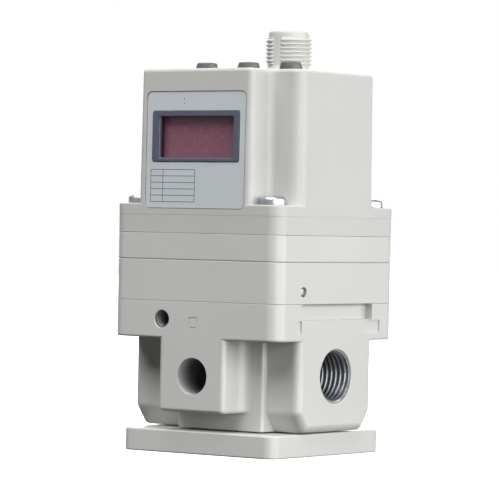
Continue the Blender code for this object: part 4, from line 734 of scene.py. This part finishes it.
# Solder mask gives the boards a glossy mid green over glass fibre, and nylon gives the
# connector's insert a satin cream.
board = surfaced("green_solder_mask", "#1d5a32", "#23683b", patch=5.0, grain=0.8, depth=0.006,
                 Roughness=0.35)
cream = surfaced("moulded_cream_nylon", "#cfc8b4", "#d8d2c0", patch=4.0, grain=0.5, depth=0.005,
                 Roughness=0.5)
carry_over(rubber, "valve_guide_seal", "supply_valve_facing", "rod_lower_seal", "rod_upper_seal",
           "pilot_seal", "sensor_seal")
carry_over(brass, "valve_guide", "supply_valve")
carry_over(stainless, "supply_armature", "exhaust_armature")
carry_over(turned_alloy, "diaphragm_rod", "diaphragm_plate")
carry_over(zinc, "diaphragm_nut")
carry_over(gold, "connector_pin_1", "connector_pin_2", "connector_pin_3", "connector_pin_4")
carry_over(board, "display_board", "key_board", "control_board")
carry_over(black, "supply_solenoid", "exhaust_solenoid", "pressure_sensor", "display_module",
           "down_switch", "up_switch", "set_switch")
carry_over(cream, "connector_insert")


# Studio: a pale floor, a wide soft light from the right, weaker ones above the front and
# behind, and a white surround, with the camera where the photograph was taken from.

# Paper: white and matt. It lights nothing, so that the lamps alone shade the object.
paper = surfaced("white_paper", "#fdfdfd", "#ffffff", patch=60.0, grain=2.0, depth=0.01,
                 Roughness=0.9, Emission_Color=linear("#ffffff"), Emission_Strength=0.9)
FLOOR_HALF, FLOOR_Z = 3000, -0.02
floor_edge = [(-FLOOR_HALF, -FLOOR_HALF), (FLOOR_HALF, -FLOOR_HALF), (FLOOR_HALF, FLOOR_HALF),
              (-FLOOR_HALF, FLOOR_HALF)]
floor_mesh = bpy.data.meshes.new("floor")
floor_mesh.from_pydata([(x * MM, y * MM, FLOOR_Z * MM) for x, y in floor_edge], [],
                       [(0, 1, 2, 3)])
floor = bpy.data.objects.new("floor", floor_mesh)
bpy.context.scene.collection.objects.link(floor)
floor.data.materials.append(paper)
floor.visible_diffuse = floor.visible_glossy = False

# The surround is white to the camera, dimmer in reflections, and almost dark as a light.
world = bpy.data.worlds.new("studio")
bpy.context.scene.world = world
world.use_nodes = True
surround = world.node_tree.nodes["Background"]
surround.inputs["Color"].default_value = linear("#ffffff")
sight = add(world, "LightPath")
mirrored = add(world, "MapRange", {"Value": sight.outputs["Is Glossy Ray"], "To Min": 0.03,
                                   "To Max": 0.4})
level = add(world, "MapRange", {"Value": sight.outputs["Is Camera Ray"],
                                "To Min": mirrored.outputs["Result"], "To Max": 1.0})
world.node_tree.links.new(level.outputs["Result"], surround.inputs["Strength"])


def looking_in(azimuth, elevation):
    """Right, up and back of something that faces the object, in radians: back is (sin a cos
    e, -cos a cos e, sin e), right is (cos a, sin a, 0), and up is back x right. The azimuth
    runs from the front to the right."""
    back = np.array([np.sin(azimuth) * np.cos(elevation), -np.cos(azimuth) * np.cos(elevation),
                     np.sin(elevation)])
    right = np.array([np.cos(azimuth), np.sin(azimuth), 0.0])
    return right, np.cross(back, right), back


def stand(name, data, right, up, back, at):
    """Places a lamp or camera by its three axes and its point, in metres."""
    item = bpy.data.objects.new(name, data)
    bpy.context.scene.collection.objects.link(item)
    item.matrix_world = Matrix([*np.column_stack([right, up, back, at]).tolist(), (0, 0, 0, 1)])
    return item


LAMP_REACH, LAMP_AIM = 2.5, (0, 0, 0.05)      # metres


def soft_light(name, azimuth, elevation, width, height, power):
    """An oblong lamp turned to face the object, with its angles in degrees, its size in
    metres and its power in watts."""
    lamp = bpy.data.lights.new(name, "AREA")
    lamp.shape, lamp.size, lamp.size_y, lamp.energy = "RECTANGLE", width, height, power
    right, up, back = looking_in(*np.radians([azimuth, elevation]))
    stand(name, lamp, right, up, back, LAMP_REACH * back + LAMP_AIM)


soft_light("key_light", azimuth=93, elevation=6, width=5.0, height=2.1, power=144.0)
soft_light("front_light", azimuth=-3, elevation=62, width=2.6, height=2.1, power=88.0)
soft_light("back_light", azimuth=215, elevation=20, width=2.6, height=2.1, power=45.0)

# The camera's angles, in degrees, its focal length in pixels and its place were fitted to the
# blocks' edges in the photograph.
azimuth, elevation, roll = np.radians([36.31, 0.45, -1.17])
IMAGE_WIDTH, FOCAL_LENGTH = 500, 3304.5
SIDE_STEP, DISTANCE, AIM_Z = -1.35, 816.3, 49.52
right, up, back = looking_in(azimuth, elevation)
eye = (right * SIDE_STEP + back * DISTANCE + (0, 0, AIM_Z)) * MM
lens = bpy.data.cameras.new("camera")
lens.sensor_width = 36.0
lens.lens = FOCAL_LENGTH / IMAGE_WIDTH * lens.sensor_width
lens.clip_start, lens.clip_end = 0.01, 20.0
bpy.context.scene.camera = stand("camera", lens, right * np.cos(roll) - up * np.sin(roll),
                                 right * np.sin(roll) + up * np.cos(roll), back, eye)
bpy.context.scene.view_settings.view_transform = "Standard"
